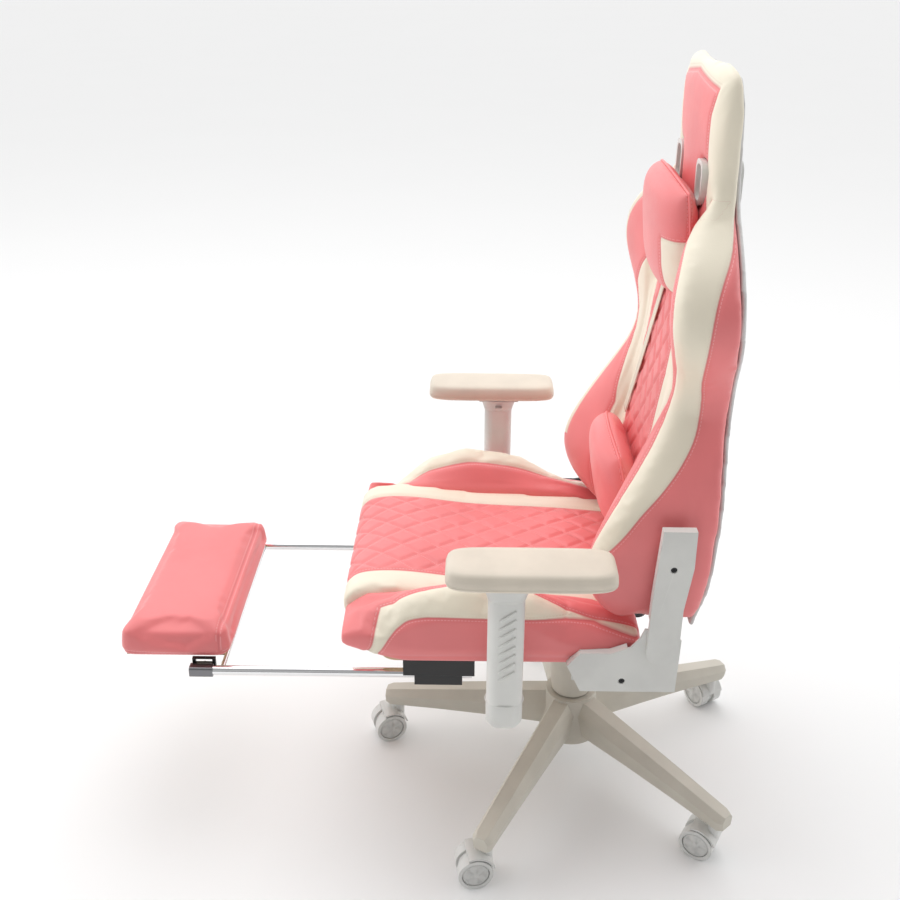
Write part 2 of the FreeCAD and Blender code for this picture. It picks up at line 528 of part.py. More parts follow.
def hinge_shapes(name, side):
    inner = HINGE_INNER_X
    lower_outer = inner + HINGE_PLATE
    upper_inner = lower_outer + GAP
    upper_outer = upper_inner + HINGE_PLATE
    pin_outer = upper_outer + HINGE_PIN_PROUD

    lower = polygon_prism_x([(-30, BOARD_BOTTOM - 12), (PIVOT_Y + 18, BOARD_BOTTOM - 12),
                             (PIVOT_Y + 24, PIVOT_Z), (PIVOT_Y + 12, PIVOT_Z + 22),
                             (PIVOT_Y - 14, PIVOT_Z + 22), (PIVOT_Y - 40, PIVOT_Z - 26),
                             (-30, PIVOT_Z - 34)], inner, lower_outer)
    flange = box(BOARD_HALF_WIDTH - 34, inner, -24, SEAT_REAR - 20,
                 BOARD_BOTTOM - BAR_THICKNESS, BOARD_BOTTOM)
    lower = lower.fuse(flange)
    upper = rod_x(PIVOT_Y, PIVOT_Z, 22, upper_inner, upper_outer)
    upper = upper.fuse(polygon_prism_x([(PIVOT_Y - 20, PIVOT_Z), (PIVOT_Y + 20, PIVOT_Z),
                                        (PIVOT_Y + 30, PIVOT_Z + 200), (PIVOT_Y - 10, PIVOT_Z + 200)],
                                       upper_inner, upper_outer))
    pin = rod_x(PIVOT_Y, PIVOT_Z, HINGE_PIN_RADIUS, inner - 4, pin_outer)
    lower = lower.cut(pin)
    upper = upper.cut(rod_x(PIVOT_Y, PIVOT_Z, HINGE_PIN_RADIUS + RUN, inner, pin_outer))

    skin_inner = pin_outer + COVER_ROOM
    skin_outer = skin_inner + COVER_SKIN
    bottom = BOARD_BOTTOM - 22
    outline = [(PIVOT_Y + 26, bottom), (PIVOT_Y + 29, PIVOT_Z + 18), (PIVOT_Y + 10, PIVOT_Z + 32),
               (PIVOT_Y - 28, PIVOT_Z + 38), (PIVOT_Y - 34, PIVOT_Z + 22), (PIVOT_Y - 48, PIVOT_Z + 4),
               (PIVOT_Y - 78, PIVOT_Z - 8), (PIVOT_Y - 124, PIVOT_Z - 8), (PIVOT_Y - 144, PIVOT_Z - 32),
               (PIVOT_Y - 122, bottom)]
    lower_cover = polygon_prism_x(outline, lower_outer, skin_outer)
    hollow = inset_outline(outline, 4)
    lower_cover = lower_cover.cut(polygon_prism_x(hollow, lower_outer - 1, skin_inner))
    lower_cover = lower_cover.cut(rod_x(PIVOT_Y, PIVOT_Z, 52, lower_outer - 1, skin_inner))
    lower_cover = lower_cover.cut(box(lower_outer - 1, skin_inner, PIVOT_Y - 36, PIVOT_Y + 60,
                                      PIVOT_Z - 20, PIVOT_Z + 80))
    lower_hole = (PIVOT_Y - 58, BOARD_BOTTOM - 2)
    lower_cover = lower_cover.cut(rod_x(*lower_hole, 5, skin_inner - 1, skin_outer + 1))
    lower_screw = screw_x(*lower_hole, lower_outer, skin_outer - 1.5)

    face_inner = skin_outer + GAP
    face_outer = face_inner + BLADE_THICKNESS
    top = PIVOT_Z + 212
    blade = [(PIVOT_Y - 25, PIVOT_Z), (PIVOT_Y + 25, PIVOT_Z), (PIVOT_Y + 26, PIVOT_Z + 76),
             (PIVOT_Y + 36, PIVOT_Z + 150), (PIVOT_Y + 36, top), (PIVOT_Y - 14, top),
             (PIVOT_Y - 22, PIVOT_Z + 96)]
    upper_cover = polygon_prism_x(blade, face_inner, face_outer)
    upper_cover = upper_cover.fuse(rod_x(PIVOT_Y, PIVOT_Z, 25, face_inner, face_outer))
    shell = polygon_prism_x(blade, upper_outer + GAP, face_inner + 1)
    shell = shell.cut(polygon_prism_x(inset_outline(blade, 3.5), upper_outer, face_inner + 1))
    shell = shell.cut(box(upper_outer, face_inner + 2, PIVOT_Y - 80, PIVOT_Y + 80,
                          PIVOT_Z - 60, PIVOT_Z + 56))
    upper_cover = upper_cover.fuse(shell)
    upper_hole = (PIVOT_Y + 6, PIVOT_Z + 147)
    upper_cover = upper_cover.cut(rod_x(*upper_hole, 5, face_inner - 1, face_outer + 1))
    upper_screw = screw_x(*upper_hole, upper_outer, face_outer - 2)

    parts = {"hinge_plate_lower": lower, "hinge_plate_upper": upper,
             "hinge_cover_lower": lower_cover, "hinge_cover_upper": upper_cover}
    named = {"%s_%s" % (key, name): sided(shape, side) for key, shape in parts.items()}
    return named, [sided(fastener, side) for fastener in (pin, lower_screw, upper_screw)]


def screw_x(y, z, x0, x1):
    """Button-head screw along X, its head's face at x1."""
    head = rod_x(y, z, 4.6, x1 - 2.5, x1)
    return head.fuse(rod_x(y, z, 2, x0, x1)).cut(rod_x(y, z, 1.6, x1 - 1.5, x1 + 1))


def inset_outline(points, distance):
    """Outline moved inwards by a wall thickness."""
    wire = Part.makePolygon([V(0, y, z) for y, z in points + points[:1]])
    inner = Part.Face(wire).makeOffset2D(-distance, 2)
    corners = [v.Point for v in inner.OuterWire.OrderedVertexes]
    return [(c.y, c.z) for c in corners]


def recline_lever():
    """Handle on the sitter's right, outside the hinge cover."""
    inner = (HINGE_INNER_X + 2 * HINGE_PLATE + HINGE_PIN_PROUD + COVER_ROOM + COVER_SKIN
             + BLADE_THICKNESS + 3 * GAP)
    arm = polygon_prism_x([(PIVOT_Y + 12, PIVOT_Z - 10), (PIVOT_Y + 12, PIVOT_Z + 10),
                           (PIVOT_Y - 60, PIVOT_Z), (PIVOT_Y - 128, PIVOT_Z - 10),
                           (PIVOT_Y - 128, PIVOT_Z - 24), (PIVOT_Y - 62, PIVOT_Z - 16)],
                          inner, inner + 5)
    grip = rounded_slab(inner, inner + 18, PIVOT_Y - 150, PIVOT_Y - 84,
                        PIVOT_Z - 27, PIVOT_Z - 9, 7, 5)
    return mirror_x(arm.fuse(grip))


# ---- Backrest ----

def back_half_outline():
    """Right-hand half of the front view, (half width, height), from top to bottom."""
    shares = ((0, 1.0), (84, 0.992), (128, 0.955), (144, 0.892), (141, 0.815), (160, 0.755),
              (228, 0.69), (268, 0.615), (262, 0.545), (222, 0.475), (206, 0.42), (222, 0.34),
              (246, 0.235), (254, 0.14), (250, 0.06))
    return [(x, BACK_BOTTOM + share * BACK_HEIGHT) for x, share in shares]


def back_front_view(inset, y0, y1):
    """Prism through the back with the front-view outline, drawn in by inset."""
    half = [(max(x - inset, 0), z) for x, z in back_half_outline()]
    top = half[0][1] - inset
    right = [(x, min(z, top)) for x, z in half]
    left = [(-x, z) for x, z in reversed(right[1:])]
    spline = Part.BSplineCurve()
    spline.interpolate([V(x, y0, z) for x, z in left + right])
    low_x = right[-1][0] - 14
    ends = [V(right[-1][0], y0, right[-1][1]), V(low_x, y0, BACK_BOTTOM),
            V(-low_x, y0, BACK_BOTTOM), V(-right[-1][0], y0, right[-1][1])]
    edges = [spline.toShape()] + [Part.makeLine(a, b) for a, b in zip(ends, ends[1:])]
    return Part.Face(Part.Wire(edges)).extrude(V(0, y1 - y0, 0))


def rear_profile(offset):
    """Rear line of the back, (y, z) from bottom to top, moved forward by offset."""
    line = at_height((180, 0.08), (188, 0.208), (202, 0.342), (207, 0.47), (203, 0.584), (195, 0.73),
                     (190, 0.863))
    line = [(163, COVER_BOTTOM)] + line + [(178, BACK_TOP - 12)]
    return [(y - offset, z) for y, z in line]


def at_height(*points):
    """(y, share of the back's height) to (y, z)."""
    return [(y, BACK_BOTTOM + share * BACK_HEIGHT) for y, share in points]


WING_FRONT = at_height((150, 1), (139, 0.958), (136, 0.887), (128, 0.79), (103, 0.709), (85, 0.645),
                       (83, 0.59), (96, 0.518), (105, 0.457), (98, 0.405), (72, 0.332), (36, 0.252),
                       (3, 0.175), (-12, 0.121), (-2, 0.051), (34, 0))
PANEL_FRONT = at_height((120, 1.024), (129, 0.948), (136, 0.875), (137, 0.754), (122, 0.584),
                        (106, 0.439), (88, 0.293), (68, 0.148), (60, 0.075), (66, 0))


def line_y(line, z):
    """Depth of a front or rear line at a height, between its nearest points."""
    points = sorted(line, key=lambda point: point[1])
    for (y0, z0), (y1, z1) in zip(points, points[1:]):
        if z0 <= z <= z1:
            return mix(y0, y1, (z - z0) / (z1 - z0))
    return points[-1][0]


def spline_face_x(lines, x0):
    """Face across X from smooth lines that are joined end to end by straight runs."""
    edges = []
    for line in lines:
        spline = Part.BSplineCurve()
        spline.interpolate([V(x0, y, z) for y, z in line])
        edges.append(spline.toShape())
    joined = []
    for index, line in enumerate(lines):
        joined.append(edges[index])
        following = lines[(index + 1) % len(lines)]
        joined.append(Part.makeLine(V(x0, *line[-1]), V(x0, *following[0])))
    return Part.Face(Part.Wire(joined))


def back_shapes():
    wide = 400.0
    foam_rear = rear_profile(COVER_THICKNESS + 0.4)
    foam_face = spline_face_x([foam_rear, WING_FRONT], -wide)
    block = foam_face.extrude(V(2 * wide, 0, 0))
    foam = block.common(back_front_view(0.0, -100, 300))
    front_room = spline_face_x([PANEL_FRONT, [(-90, BACK_BOTTOM - 60), (-90, 800), (-90, BACK_TOP + 60)]],
                               -CHANNEL_HALF_WIDTH)
    foam = foam.cut(front_room.extrude(V(2 * CHANNEL_HALF_WIDTH, 0, 0)))

    frame = back_frame()
    foam = foam.cut(frame)
    cover_face = spline_face_x([rear_profile(0.0), list(reversed(rear_profile(COVER_THICKNESS)))], -wide)
    cover = cover_face.extrude(V(2 * wide, 0, 0))
    trim = back_front_view(COVER_INSET, -100, 300)
    apron_half = SEAT_HALF_WIDTH - 38
    apron = box(-apron_half, apron_half, 100, 300, COVER_BOTTOM, BACK_BOTTOM + 40)
    cover = cover.common(trim.fuse(apron))

    holes = []
    bezels = []
    for side in (1, -1):
        outer = belt_hole(0.0, side)
        inner = belt_hole(BEZEL_RIM, side)
        holes.append(outer)
        front = line_y(PANEL_FRONT, BELT_HOLE_Z) - BEZEL_STAND_OFF
        rear = line_y(rear_profile(0.0), BELT_HOLE_Z) + BEZEL_STAND_OFF
        depth = box(-wide, wide, front, rear, BELT_HOLE_Z - 100, BELT_HOLE_Z + 100)
        bezels.append(outer.cut(inner).common(depth))
    foam = foam.cut(holes[0]).cut(holes[1])
    cover = cover.cut(holes[0]).cut(holes[1])
    return {"back_frame": frame, "back_cushion": foam, "back_cover": cover,
            "belt_hole_bezels": Part.Compound(bezels)}


def belt_hole(inset, side):
    half_w = BELT_HOLE_WIDTH / 2 - inset
    half_h = BELT_HOLE_HEIGHT / 2 - inset
    x = BELT_HOLE_X
    hole = box(x - half_w, x + half_w, 60, 260, BELT_HOLE_Z - half_h, BELT_HOLE_Z + half_h)
    along = [e for e in hole.Edges if e.BoundBox.YLength > 10]
    return sided(hole.makeFillet(half_w * 0.7, along), side)


def back_frame():
    """Welded tube frame inside the foam, bolted between the upper hinge plates."""
    reach = HINGE_INNER_X + HINGE_PLATE + GAP
    start = V(0, PIVOT_Y + 12, PIVOT_Z + 92)
    end = V(0, PIVOT_Y + 54, BACK_BOTTOM + 0.646 * BACK_HEIGHT)
    low = rod_x(start.y, start.z, FRAME_TUBE_RADIUS, -reach, reach)
    high = rod_x(PIVOT_Y + 16, PIVOT_Z + 178, FRAME_TUBE_RADIUS, -reach, reach)
    frame = low.fuse(high)
    for x in (-165, 165):
        upright = Part.makeCylinder(FRAME_TUBE_RADIUS, start.distanceToPoint(end),
                                    start + V(x, 0, 0), end - start)
        frame = frame.fuse(upright)
    return frame


def pillow_block(half_width, front, middle, half_height, lean):
    """Rounded block deep enough to reach into the back, leaning by an angle about its middle."""
    block = rounded_slab(-half_width, half_width, front, front + 100, middle - half_height,
                         middle + half_height, 30, 26)
    block.rotate(V(0, front + 30, middle), V(1, 0, 0), lean)
    return block


def pillow_shapes():
    half = CHANNEL_HALF_WIDTH - PILLOW_GAP
    neck_z = BACK_TOP - 255
    neck = pillow_block(half, line_y(PANEL_FRONT, neck_z) - 55, neck_z, 80, -4)
    lumbar_z = BACK_BOTTOM + 148
    lumbar = pillow_block(half - 19, line_y(PANEL_FRONT, lumbar_z) - 52, lumbar_z, 78, -8)
    keep_off = [(y - PILLOW_GAP, z) for y, z in PANEL_FRONT]
    far = [(300, BACK_BOTTOM - 80), (300, BACK_BOTTOM + BACK_HEIGHT / 2), (300, BACK_TOP + 100)]
    behind = spline_face_x([keep_off, far], -400)
    behind = behind.extrude(V(800, 0, 0))
    return {"neck_pillow": neck.cut(behind), "lumbar_pillow": lumbar.cut(behind)}


# ---- Footrest ----

def footrest_shapes():
    guides = []
    tips = []
    brackets = []
    tubes = []
    for side in (1, -1):
        body = box(TUBE_X - 16, TUBE_X + 16, GUIDE_FRONT + 18, GUIDE_REAR - 20, TUBE_Z - TUBE_RADIUS - 4,
                   TUBE_Z + TUBE_RADIUS + 1)
        saddle = box(TUBE_X - 20, TUBE_X + 20, GUIDE_FRONT, GUIDE_REAR, TUBE_Z + TUBE_RADIUS + 1,
                     BOARD_BOTTOM)
        guide = body.fuse(saddle)
        guide = guide.cut(rod((TUBE_X, GUIDE_FRONT - 1, TUBE_Z), (0, 1, 0), TUBE_RADIUS + RUN,
                              GUIDE_REAR - GUIDE_FRONT + 2))
        guides.append(sided(guide, side))

        tube = rod((TUBE_X, TUBE_FRONT - 30, TUBE_Z), (0, 1, 0), TUBE_RADIUS, TUBE_REAR - TUBE_FRONT + 30)
        tubes.append(sided(tube, side))

        tip = box(TUBE_X - TIP_HALF_WIDTH, TUBE_X + TIP_HALF_WIDTH, TIP_FRONT, TUBE_FRONT,
                  TUBE_Z - TIP_HALF_WIDTH, TUBE_Z + TIP_HALF_WIDTH)
        tip = tip.makeFillet(4, [e for e in tip.Edges if e.BoundBox.YLength > 10])
        tip = tip.cut(tube)
        inner = TUBE_X - TIP_HALF_WIDTH
        pivot = rod_x(FLIP_Y, TUBE_Z, FLIP_PIN_RADIUS, inner - 11, inner)
        tips.append(sided(tip.fuse(pivot), side))

        plate_x = inner - GAP
        leg = box(plate_x - 6, plate_x, FLIP_Y - 18, FLIP_Y + 20, TUBE_Z - 8, FOOT_PAD_BOTTOM)
        window = box(plate_x - 7, plate_x + 1, FLIP_Y - 13, FLIP_Y + 15, TUBE_Z + 6, FOOT_PAD_BOTTOM - 2)
        leg = leg.cut(window)
        leg = leg.cut(rod_x(FLIP_Y, TUBE_Z, FLIP_PIN_RADIUS + RUN, plate_x - 10, plate_x + 3))
        brackets.append(sided(leg, side))

    cross = rod_x(FLIP_Y + 32, TUBE_Z, CROSS_BAR_RADIUS, -TUBE_X, TUBE_X)
    frame = tubes[0].fuse([tubes[1], cross])
    board_top = FOOT_PAD_BOTTOM + FOOT_BOARD_THICKNESS
    half_width = FOOT_PAD_HALF_WIDTH - FOOT_BOARD_INSET
    front = FOOT_PAD_FRONT + FOOT_BOARD_INSET
    rear = FOOT_PAD_REAR - FOOT_BOARD_INSET
    board = box(-half_width, half_width, front, rear, FOOT_PAD_BOTTOM, board_top)
    pad = rounded_slab(-FOOT_PAD_HALF_WIDTH, FOOT_PAD_HALF_WIDTH, FOOT_PAD_FRONT, FOOT_PAD_REAR,
                       FOOT_PAD_BOTTOM, FOOT_PAD_BOTTOM + FOOT_PAD_THICKNESS, 16, 10)
    pad = pad.cut(box(-half_width, half_width, front, rear, FOOT_PAD_BOTTOM - 1, board_top))
    return {"footrest_guides": Part.Compound(guides), "footrest_tubes": frame,
            "footrest_tip_caps": Part.Compound(tips), "footrest_brackets": Part.Compound(brackets),
            "footrest_board": board, "footrest_pad": pad}


# ---- Assembly ----

def chair_shapes():
    shapes = {"star_base": star_base()}
    for index in range(BASE_ARMS):
        shapes.update(caster_shapes(index))
    shapes.update(gas_lift_shapes())
    shapes.update(mechanism_shapes())
    shapes.update(seat_shapes())
    fasteners = []
    for name, side in LEFT_RIGHT:
        shapes.update(armrest_shapes(name, side))
        hinge, loose = hinge_shapes(name, side)
        shapes.update(hinge)
        fasteners.append(loose)
    pins, lower_screws, upper_screws = zip(*fasteners)
    shapes["hinge_pins"] = Part.Compound(list(pins + lower_screws))
    shapes["cover_screws_upper"] = Part.Compound(list(upper_screws))
    shapes["recline_lever"] = recline_lever()
    shapes.update(back_shapes())
    shapes.update(pillow_shapes())
    shapes.update(footrest_shapes())
    return shapes


def origin_shift(shapes):
    """Move that puts the middle of the overall box on the Z axis."""
    overall = Part.Compound(list(shapes.values())).BoundBox
    return V(-overall.Center.x, -overall.Center.y, 0)


def main():
    os.makedirs("parts", exist_ok=True)
    shapes = chair_shapes()
    shift = origin_shift(shapes)
    for name, shape in shapes.items():
        placed = shape.copy()
        placed.translate(shift)
        placed.exportStep("parts/%s.step" % name)
    print("pieces: %d" % len(shapes))
    print("origin shift: %.3f %.3f" % (shift.x, shift.y))


main()
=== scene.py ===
import json
import math

import bpy
import numpy as np
from mathutils import Matrix, Vector

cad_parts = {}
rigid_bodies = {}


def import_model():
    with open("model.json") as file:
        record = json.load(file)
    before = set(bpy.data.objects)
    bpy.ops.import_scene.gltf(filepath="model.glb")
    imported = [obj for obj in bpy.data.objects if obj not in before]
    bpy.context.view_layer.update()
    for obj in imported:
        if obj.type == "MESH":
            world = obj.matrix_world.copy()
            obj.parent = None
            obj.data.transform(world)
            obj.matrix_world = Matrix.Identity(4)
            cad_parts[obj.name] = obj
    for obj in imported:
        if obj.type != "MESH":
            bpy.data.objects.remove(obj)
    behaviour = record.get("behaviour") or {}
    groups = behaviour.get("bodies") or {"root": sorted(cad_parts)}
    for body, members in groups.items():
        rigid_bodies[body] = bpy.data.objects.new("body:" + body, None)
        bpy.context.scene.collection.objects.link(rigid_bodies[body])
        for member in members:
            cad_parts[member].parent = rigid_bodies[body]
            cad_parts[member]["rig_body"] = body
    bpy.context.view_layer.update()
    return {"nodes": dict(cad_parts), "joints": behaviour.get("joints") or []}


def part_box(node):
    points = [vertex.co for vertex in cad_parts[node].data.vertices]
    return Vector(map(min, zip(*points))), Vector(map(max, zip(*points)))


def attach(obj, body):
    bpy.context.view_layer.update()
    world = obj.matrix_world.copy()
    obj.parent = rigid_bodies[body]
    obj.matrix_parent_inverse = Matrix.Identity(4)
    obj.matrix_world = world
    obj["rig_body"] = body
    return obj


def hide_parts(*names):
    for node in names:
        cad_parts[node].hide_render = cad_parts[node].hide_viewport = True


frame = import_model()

JOINTS = {joint["name"]: joint for joint in frame["joints"]}
SWIVEL_Y = JOINTS["seat_swivel"]["pos_m"][1]     # the swivel axis stands at x = 0, y = SWIVEL_Y
MM = 0.001
SIDES = (("left", 1), ("right", -1))


def at(x, y, z):
    """Point given in millimetres from the foot of the swivel axis."""
    return Vector((x * MM, SWIVEL_Y + y * MM, z * MM))


def chair_mm(points):
    """Metres in the frame to millimetres from the foot of the swivel axis."""
    return (np.asarray(points) - (0, SWIVEL_Y, 0)) / MM


# ---- Colours, linear ----
PINK = (0.84, 0.212, 0.216)
# darker pink painted along every seam as painted shade in the seam creases
PINK_CREASE_SHADE = (0.62, 0.115, 0.125)
CREAM = (0.87, 0.80, 0.65)
CREAM_THREAD = (0.80, 0.70, 0.56)
PINK_THREAD = (0.93, 0.42, 0.42)
# the rear cover's white leather, given a darker grey as painted shade
COVER_WHITE_IN_SHADE = (0.62, 0.61, 0.60)
SHELL_WHITE = (0.70, 0.70, 0.67)
PAD_BEIGE = (0.70, 0.63, 0.53)
BASE_GREIGE = (0.60, 0.565, 0.49)
CASTER_WHITE = (0.66, 0.66, 0.64)
BLACK = (0.012, 0.012, 0.013)


# ---- Node graph helpers ----

class Graph:
    """Short way to write a material's nodes."""

    def __init__(self, name):
        self.material = bpy.data.materials.new(name)
        self.material.use_nodes = True
        self.tree = self.material.node_tree
        self.tree.nodes.clear()
        self.output = self.tree.nodes.new("ShaderNodeOutputMaterial")
        self.shader = self.add("ShaderNodeBsdfPrincipled")
        self.link(self.shader.outputs[0], self.output.inputs["Surface"])

    def add(self, kind, settings=(), **inputs):
        node = self.tree.nodes.new(kind)
        for key, value in dict(settings).items():
            setattr(node, key, value)
        for key, value in inputs.items():
            self.feed(node.inputs[key.replace("_", " ")], value)
        return node

    def link(self, source, target):
        self.tree.links.new(source, target)

    def feed(self, socket, value):
        if isinstance(value, bpy.types.NodeSocket):
            self.link(value, socket)
        elif hasattr(value, "outputs"):
            self.link(value.outputs[0], socket)
        elif isinstance(value, tuple) and len(value) == 3 and socket.type == "RGBA":
            socket.default_value = (*value, 1.0)
        else:
            socket.default_value = value

    def math(self, operation, *values):
        node = self.add("ShaderNodeMath", {"operation": operation})
        for socket, value in zip(node.inputs, values):
            self.feed(socket, value)
        return node.outputs[0]

    def blend(self, factor, first, second):
        node = self.add("ShaderNodeMix", {"data_type": "RGBA"})
        self.feed(node.inputs[0], factor)
        self.feed(node.inputs[6], first)
        self.feed(node.inputs[7], second)
        return node.outputs[2]

    def ramp(self, value, low, high):
        """0 at low, 1 at high, smooth between; low may be above high."""
        node = self.add("ShaderNodeMapRange", {"interpolation_type": "SMOOTHSTEP"})
        for index, number in enumerate((value, low, high, 0.0, 1.0)):
            self.feed(node.inputs[index], number)
        return node.outputs[0]

    def place(self):
        return self.add("ShaderNodeTexCoord").outputs["Object"]

    def noise(self, scale, detail=3.0, vector=None):
        node = self.add("ShaderNodeTexNoise", Scale=scale, Detail=detail)
        self.feed(node.inputs["Vector"], vector or self.place())
        return node.outputs["Fac"]

    def cells(self, scale, feature="F1"):
        node = self.add("ShaderNodeTexVoronoi", {"feature": feature}, Scale=scale)
        self.feed(node.inputs["Vector"], self.place())
        return node.outputs["Distance"]

    def value_of(self, name):
        return self.add("ShaderNodeAttribute", {"attribute_name": name}).outputs["Fac"]

    def bump(self, height, distance, strength=1.0, edge=0.0):
        node = self.add("ShaderNodeBump", Strength=strength, Distance=distance, Height=height)
        if edge:
            self.link(self.add("ShaderNodeBevel", {"samples": 4}, Radius=edge).outputs[0],
                      node.inputs["Normal"])
        self.link(node.outputs[0], self.shader.inputs["Normal"])

    def set(self, **inputs):
        for key, value in inputs.items():
            self.feed(self.shader.inputs[key.replace("_", " ")], value)
        return self.material


def tint(color, factor):
    return tuple(channel * factor for channel in color)


# ---- Materials ----

SEAM_OFFSET = 0.0034       # stitch row beside a seam
STITCH_PITCH = 0.0052
QUILT_PITCH = 0.050        # diamond width across


def stitches(graph, distance, run):
    """Mask of a broken thread line on both sides of a seam."""
    away = graph.math("ABSOLUTE", distance)
    row = graph.math("ABSOLUTE", graph.math("SUBTRACT", away, SEAM_OFFSET))
    inside = graph.ramp(row, 0.0007, 0.0004)
    step = graph.math("FRACT", graph.math("DIVIDE", run, STITCH_PITCH))
    dash = graph.ramp(graph.math("ABSOLUTE", graph.math("SUBTRACT", step, 0.5)), 0.36, 0.30)
    return graph.math("MULTIPLY", inside, dash)


def leather(name, main=PINK, crease_shade=PINK_CREASE_SHADE, main_thread=PINK_THREAD):
    """Smooth synthetic leather: main and cream panels, stitched seams, quilting lines and painted shade
    darkening each seam crease.
    """
    g = Graph(name)
    cloud = g.noise(7.0, 2.0)
    grain = g.cells(850.0)
    creases = g.noise(160.0, 4.0)
    pink = g.blend(g.ramp(cloud, 0.35, 0.68), tint(main, 0.95), tint(main, 1.05))
    cream = g.blend(g.ramp(cloud, 0.35, 0.68), tint(CREAM, 0.96), tint(CREAM, 1.02))
    cream_mask = g.ramp(g.value_of("cream"), -0.0004, 0.0004)
    color = g.blend(cream_mask, pink, cream)
    thread = g.blend(cream_mask, main_thread, CREAM_THREAD)
    seam = g.value_of("seam")
    # painted shade: within 2.2 mm of each seam the colour darkens towards the crease shade colour,
    # standing for the shadow in the seam crease
    crease = g.ramp(g.math("ABSOLUTE", seam), 0.0022, 0.0002)
    color = g.blend(g.math("MULTIPLY", crease, 0.55), color, crease_shade)
    thread_mask = stitches(g, seam, g.value_of("run"))
    first = g.value_of("quilt_a")
    second = g.value_of("quilt_b")
    for along, across in ((first, second), (second, first)):
        line = g.math("SUBTRACT", g.math("FRACT", g.math("DIVIDE", along, QUILT_PITCH)), 0.5)
        near = g.math("SUBTRACT", 0.5, g.math("ABSOLUTE", line))
        inside = g.ramp(near, 0.020, 0.008)
        dash = g.math("FRACT", g.math("DIVIDE", across, STITCH_PITCH))
        dash = g.ramp(g.math("ABSOLUTE", g.math("SUBTRACT", dash, 0.5)), 0.38, 0.30)
        stitched = g.math("MULTIPLY", g.math("MULTIPLY", inside, dash), g.value_of("quilted"))
        thread_mask = g.math("MAXIMUM", thread_mask, stitched)
    color = g.blend(g.math("MULTIPLY", thread_mask, 0.75), color, thread)
    height = g.math("MULTIPLY_ADD", grain, 0.55, g.math("MULTIPLY", creases, 0.75))
    height = g.math("ADD", height, g.math("MULTIPLY", thread_mask, 1.4))
    rough = g.math("MULTIPLY_ADD", g.noise(60.0, 2.0), 0.16, 0.36)
    g.bump(height, 0.00035, 0.5)
    return g.set(Base_Color=color, Roughness=rough, Coat_Weight=0.12, Coat_Roughness=0.35,
                 Sheen_Weight=0.08, Sheen_Roughness=0.5)


def strap_leather(name, color):
    g = Graph(name)
    tone = g.blend(g.ramp(g.noise(22.0), 0.3, 0.7), tint(color, 0.93), tint(color, 1.04))
    height = g.math("MULTIPLY_ADD", g.cells(850.0), 0.6, g.math("MULTIPLY", g.noise(140.0), 0.6))
    g.bump(height, 0.0003, 0.5)
    return g.set(Base_Color=tone, Roughness=0.46, Coat_Weight=0.1, Coat_Roughness=0.35)


def paper(name, color):
    g = Graph(name)
    tone = g.blend(g.noise(1.5, 1.0), tint(color, 0.99), color)
    return g.set(Base_Color=tone, Roughness=0.95, Specular_IOR_Level=0.1)


def moulded(name, color, rough=0.42, grain=1400.0, wear=0.06, edge=0.0012):
    """Injection-moulded plastic: fine spark texture, faint mottling, worn lighter edges."""
    g = Graph(name)
    mottling = g.ramp(g.noise(16.0, 4.0), 0.32, 0.72)
    tone = g.blend(mottling, tint(color, 0.95), tint(color, 1.03))
    edges = g.ramp(g.add("ShaderNodeNewGeometry").outputs["Pointiness"], 0.53, 0.60)
    tone = g.blend(g.math("MULTIPLY", edges, wear * 6), tone, tint(color, 1.15))
    dust = g.ramp(g.noise(5.0, 5.0), 0.55, 0.8)
    tone = g.blend(g.math("MULTIPLY", dust, 0.12), tone, tint(color, 0.8))
    g.bump(g.math("ADD", g.noise(grain, 2.0), g.math("MULTIPLY", g.noise(240.0), 0.5)), 0.00012, 0.6, edge)
    return g.set(Base_Color=tone, Roughness=g.math("MULTIPLY_ADD", g.noise(35.0), 0.14, rough - 0.07))


def polished(name, color, rough):
    g = Graph(name)
    smear = g.noise(30.0, 3.0)
    tone = g.blend(smear, tint(color, 0.94), color)
    g.bump(g.noise(600.0, 2.0), 0.00003, 0.25)
    return g.set(Base_Color=tone, Metallic=1.0, Roughness=g.math("MULTIPLY_ADD", smear, 0.08, rough))


def painted(name, color, metallic=0.2):
    g = Graph(name)
    orange_peel = g.noise(420.0, 2.0)
    tone = g.blend(g.ramp(g.noise(20.0, 4.0), 0.3, 0.7), tint(color, 0.9), tint(color, 1.1))
    g.bump(orange_peel, 0.0001, 0.5, 0.0006)
    rough = g.math("MULTIPLY_ADD", g.noise(50.0), 0.12, 0.34)
    return g.set(Base_Color=tone, Metallic=metallic, Roughness=rough)


def plywood(name):
    g = Graph(name)
    stretch = g.add("ShaderNodeMapping", Vector=g.place(), Scale=(3.0, 40.0, 120.0))
    rings = g.noise(1.4, 6.0, stretch.outputs[0])
    tone = g.blend(g.ramp(rings, 0.35, 0.65), (0.42, 0.25, 0.13), (0.60, 0.42, 0.25))
    g.bump(rings, 0.0004, 0.5, 0.001)
    return g.set(Base_Color=tone, Roughness=0.62)


LEATHER = leather("upholstery")
# rear cover: white leather painted grey as painted shade; the second colour is its painted shade in the
# seam creases
COVER_UPHOLSTERY = leather("rear cover leather", COVER_WHITE_IN_SHADE, tint(COVER_WHITE_IN_SHADE, 0.6), tint(COVER_WHITE_IN_SHADE, 1.2))
STRAP_CREAM = strap_leather("strap cream", tint(CREAM, 0.86))
PIPING_PINK = strap_leather("piping pink", tint(PINK, 1.08))
FLOOR = paper("studio floor", (0.90, 0.90, 0.90))
SHELL = moulded("white shell plastic", SHELL_WHITE)
PAD_PLASTIC = moulded("armrest pad", PAD_BEIGE, rough=0.5, grain=900.0)
PAD_RIM = moulded("armrest rim", tint(PAD_BEIGE, 1.12), rough=0.45)
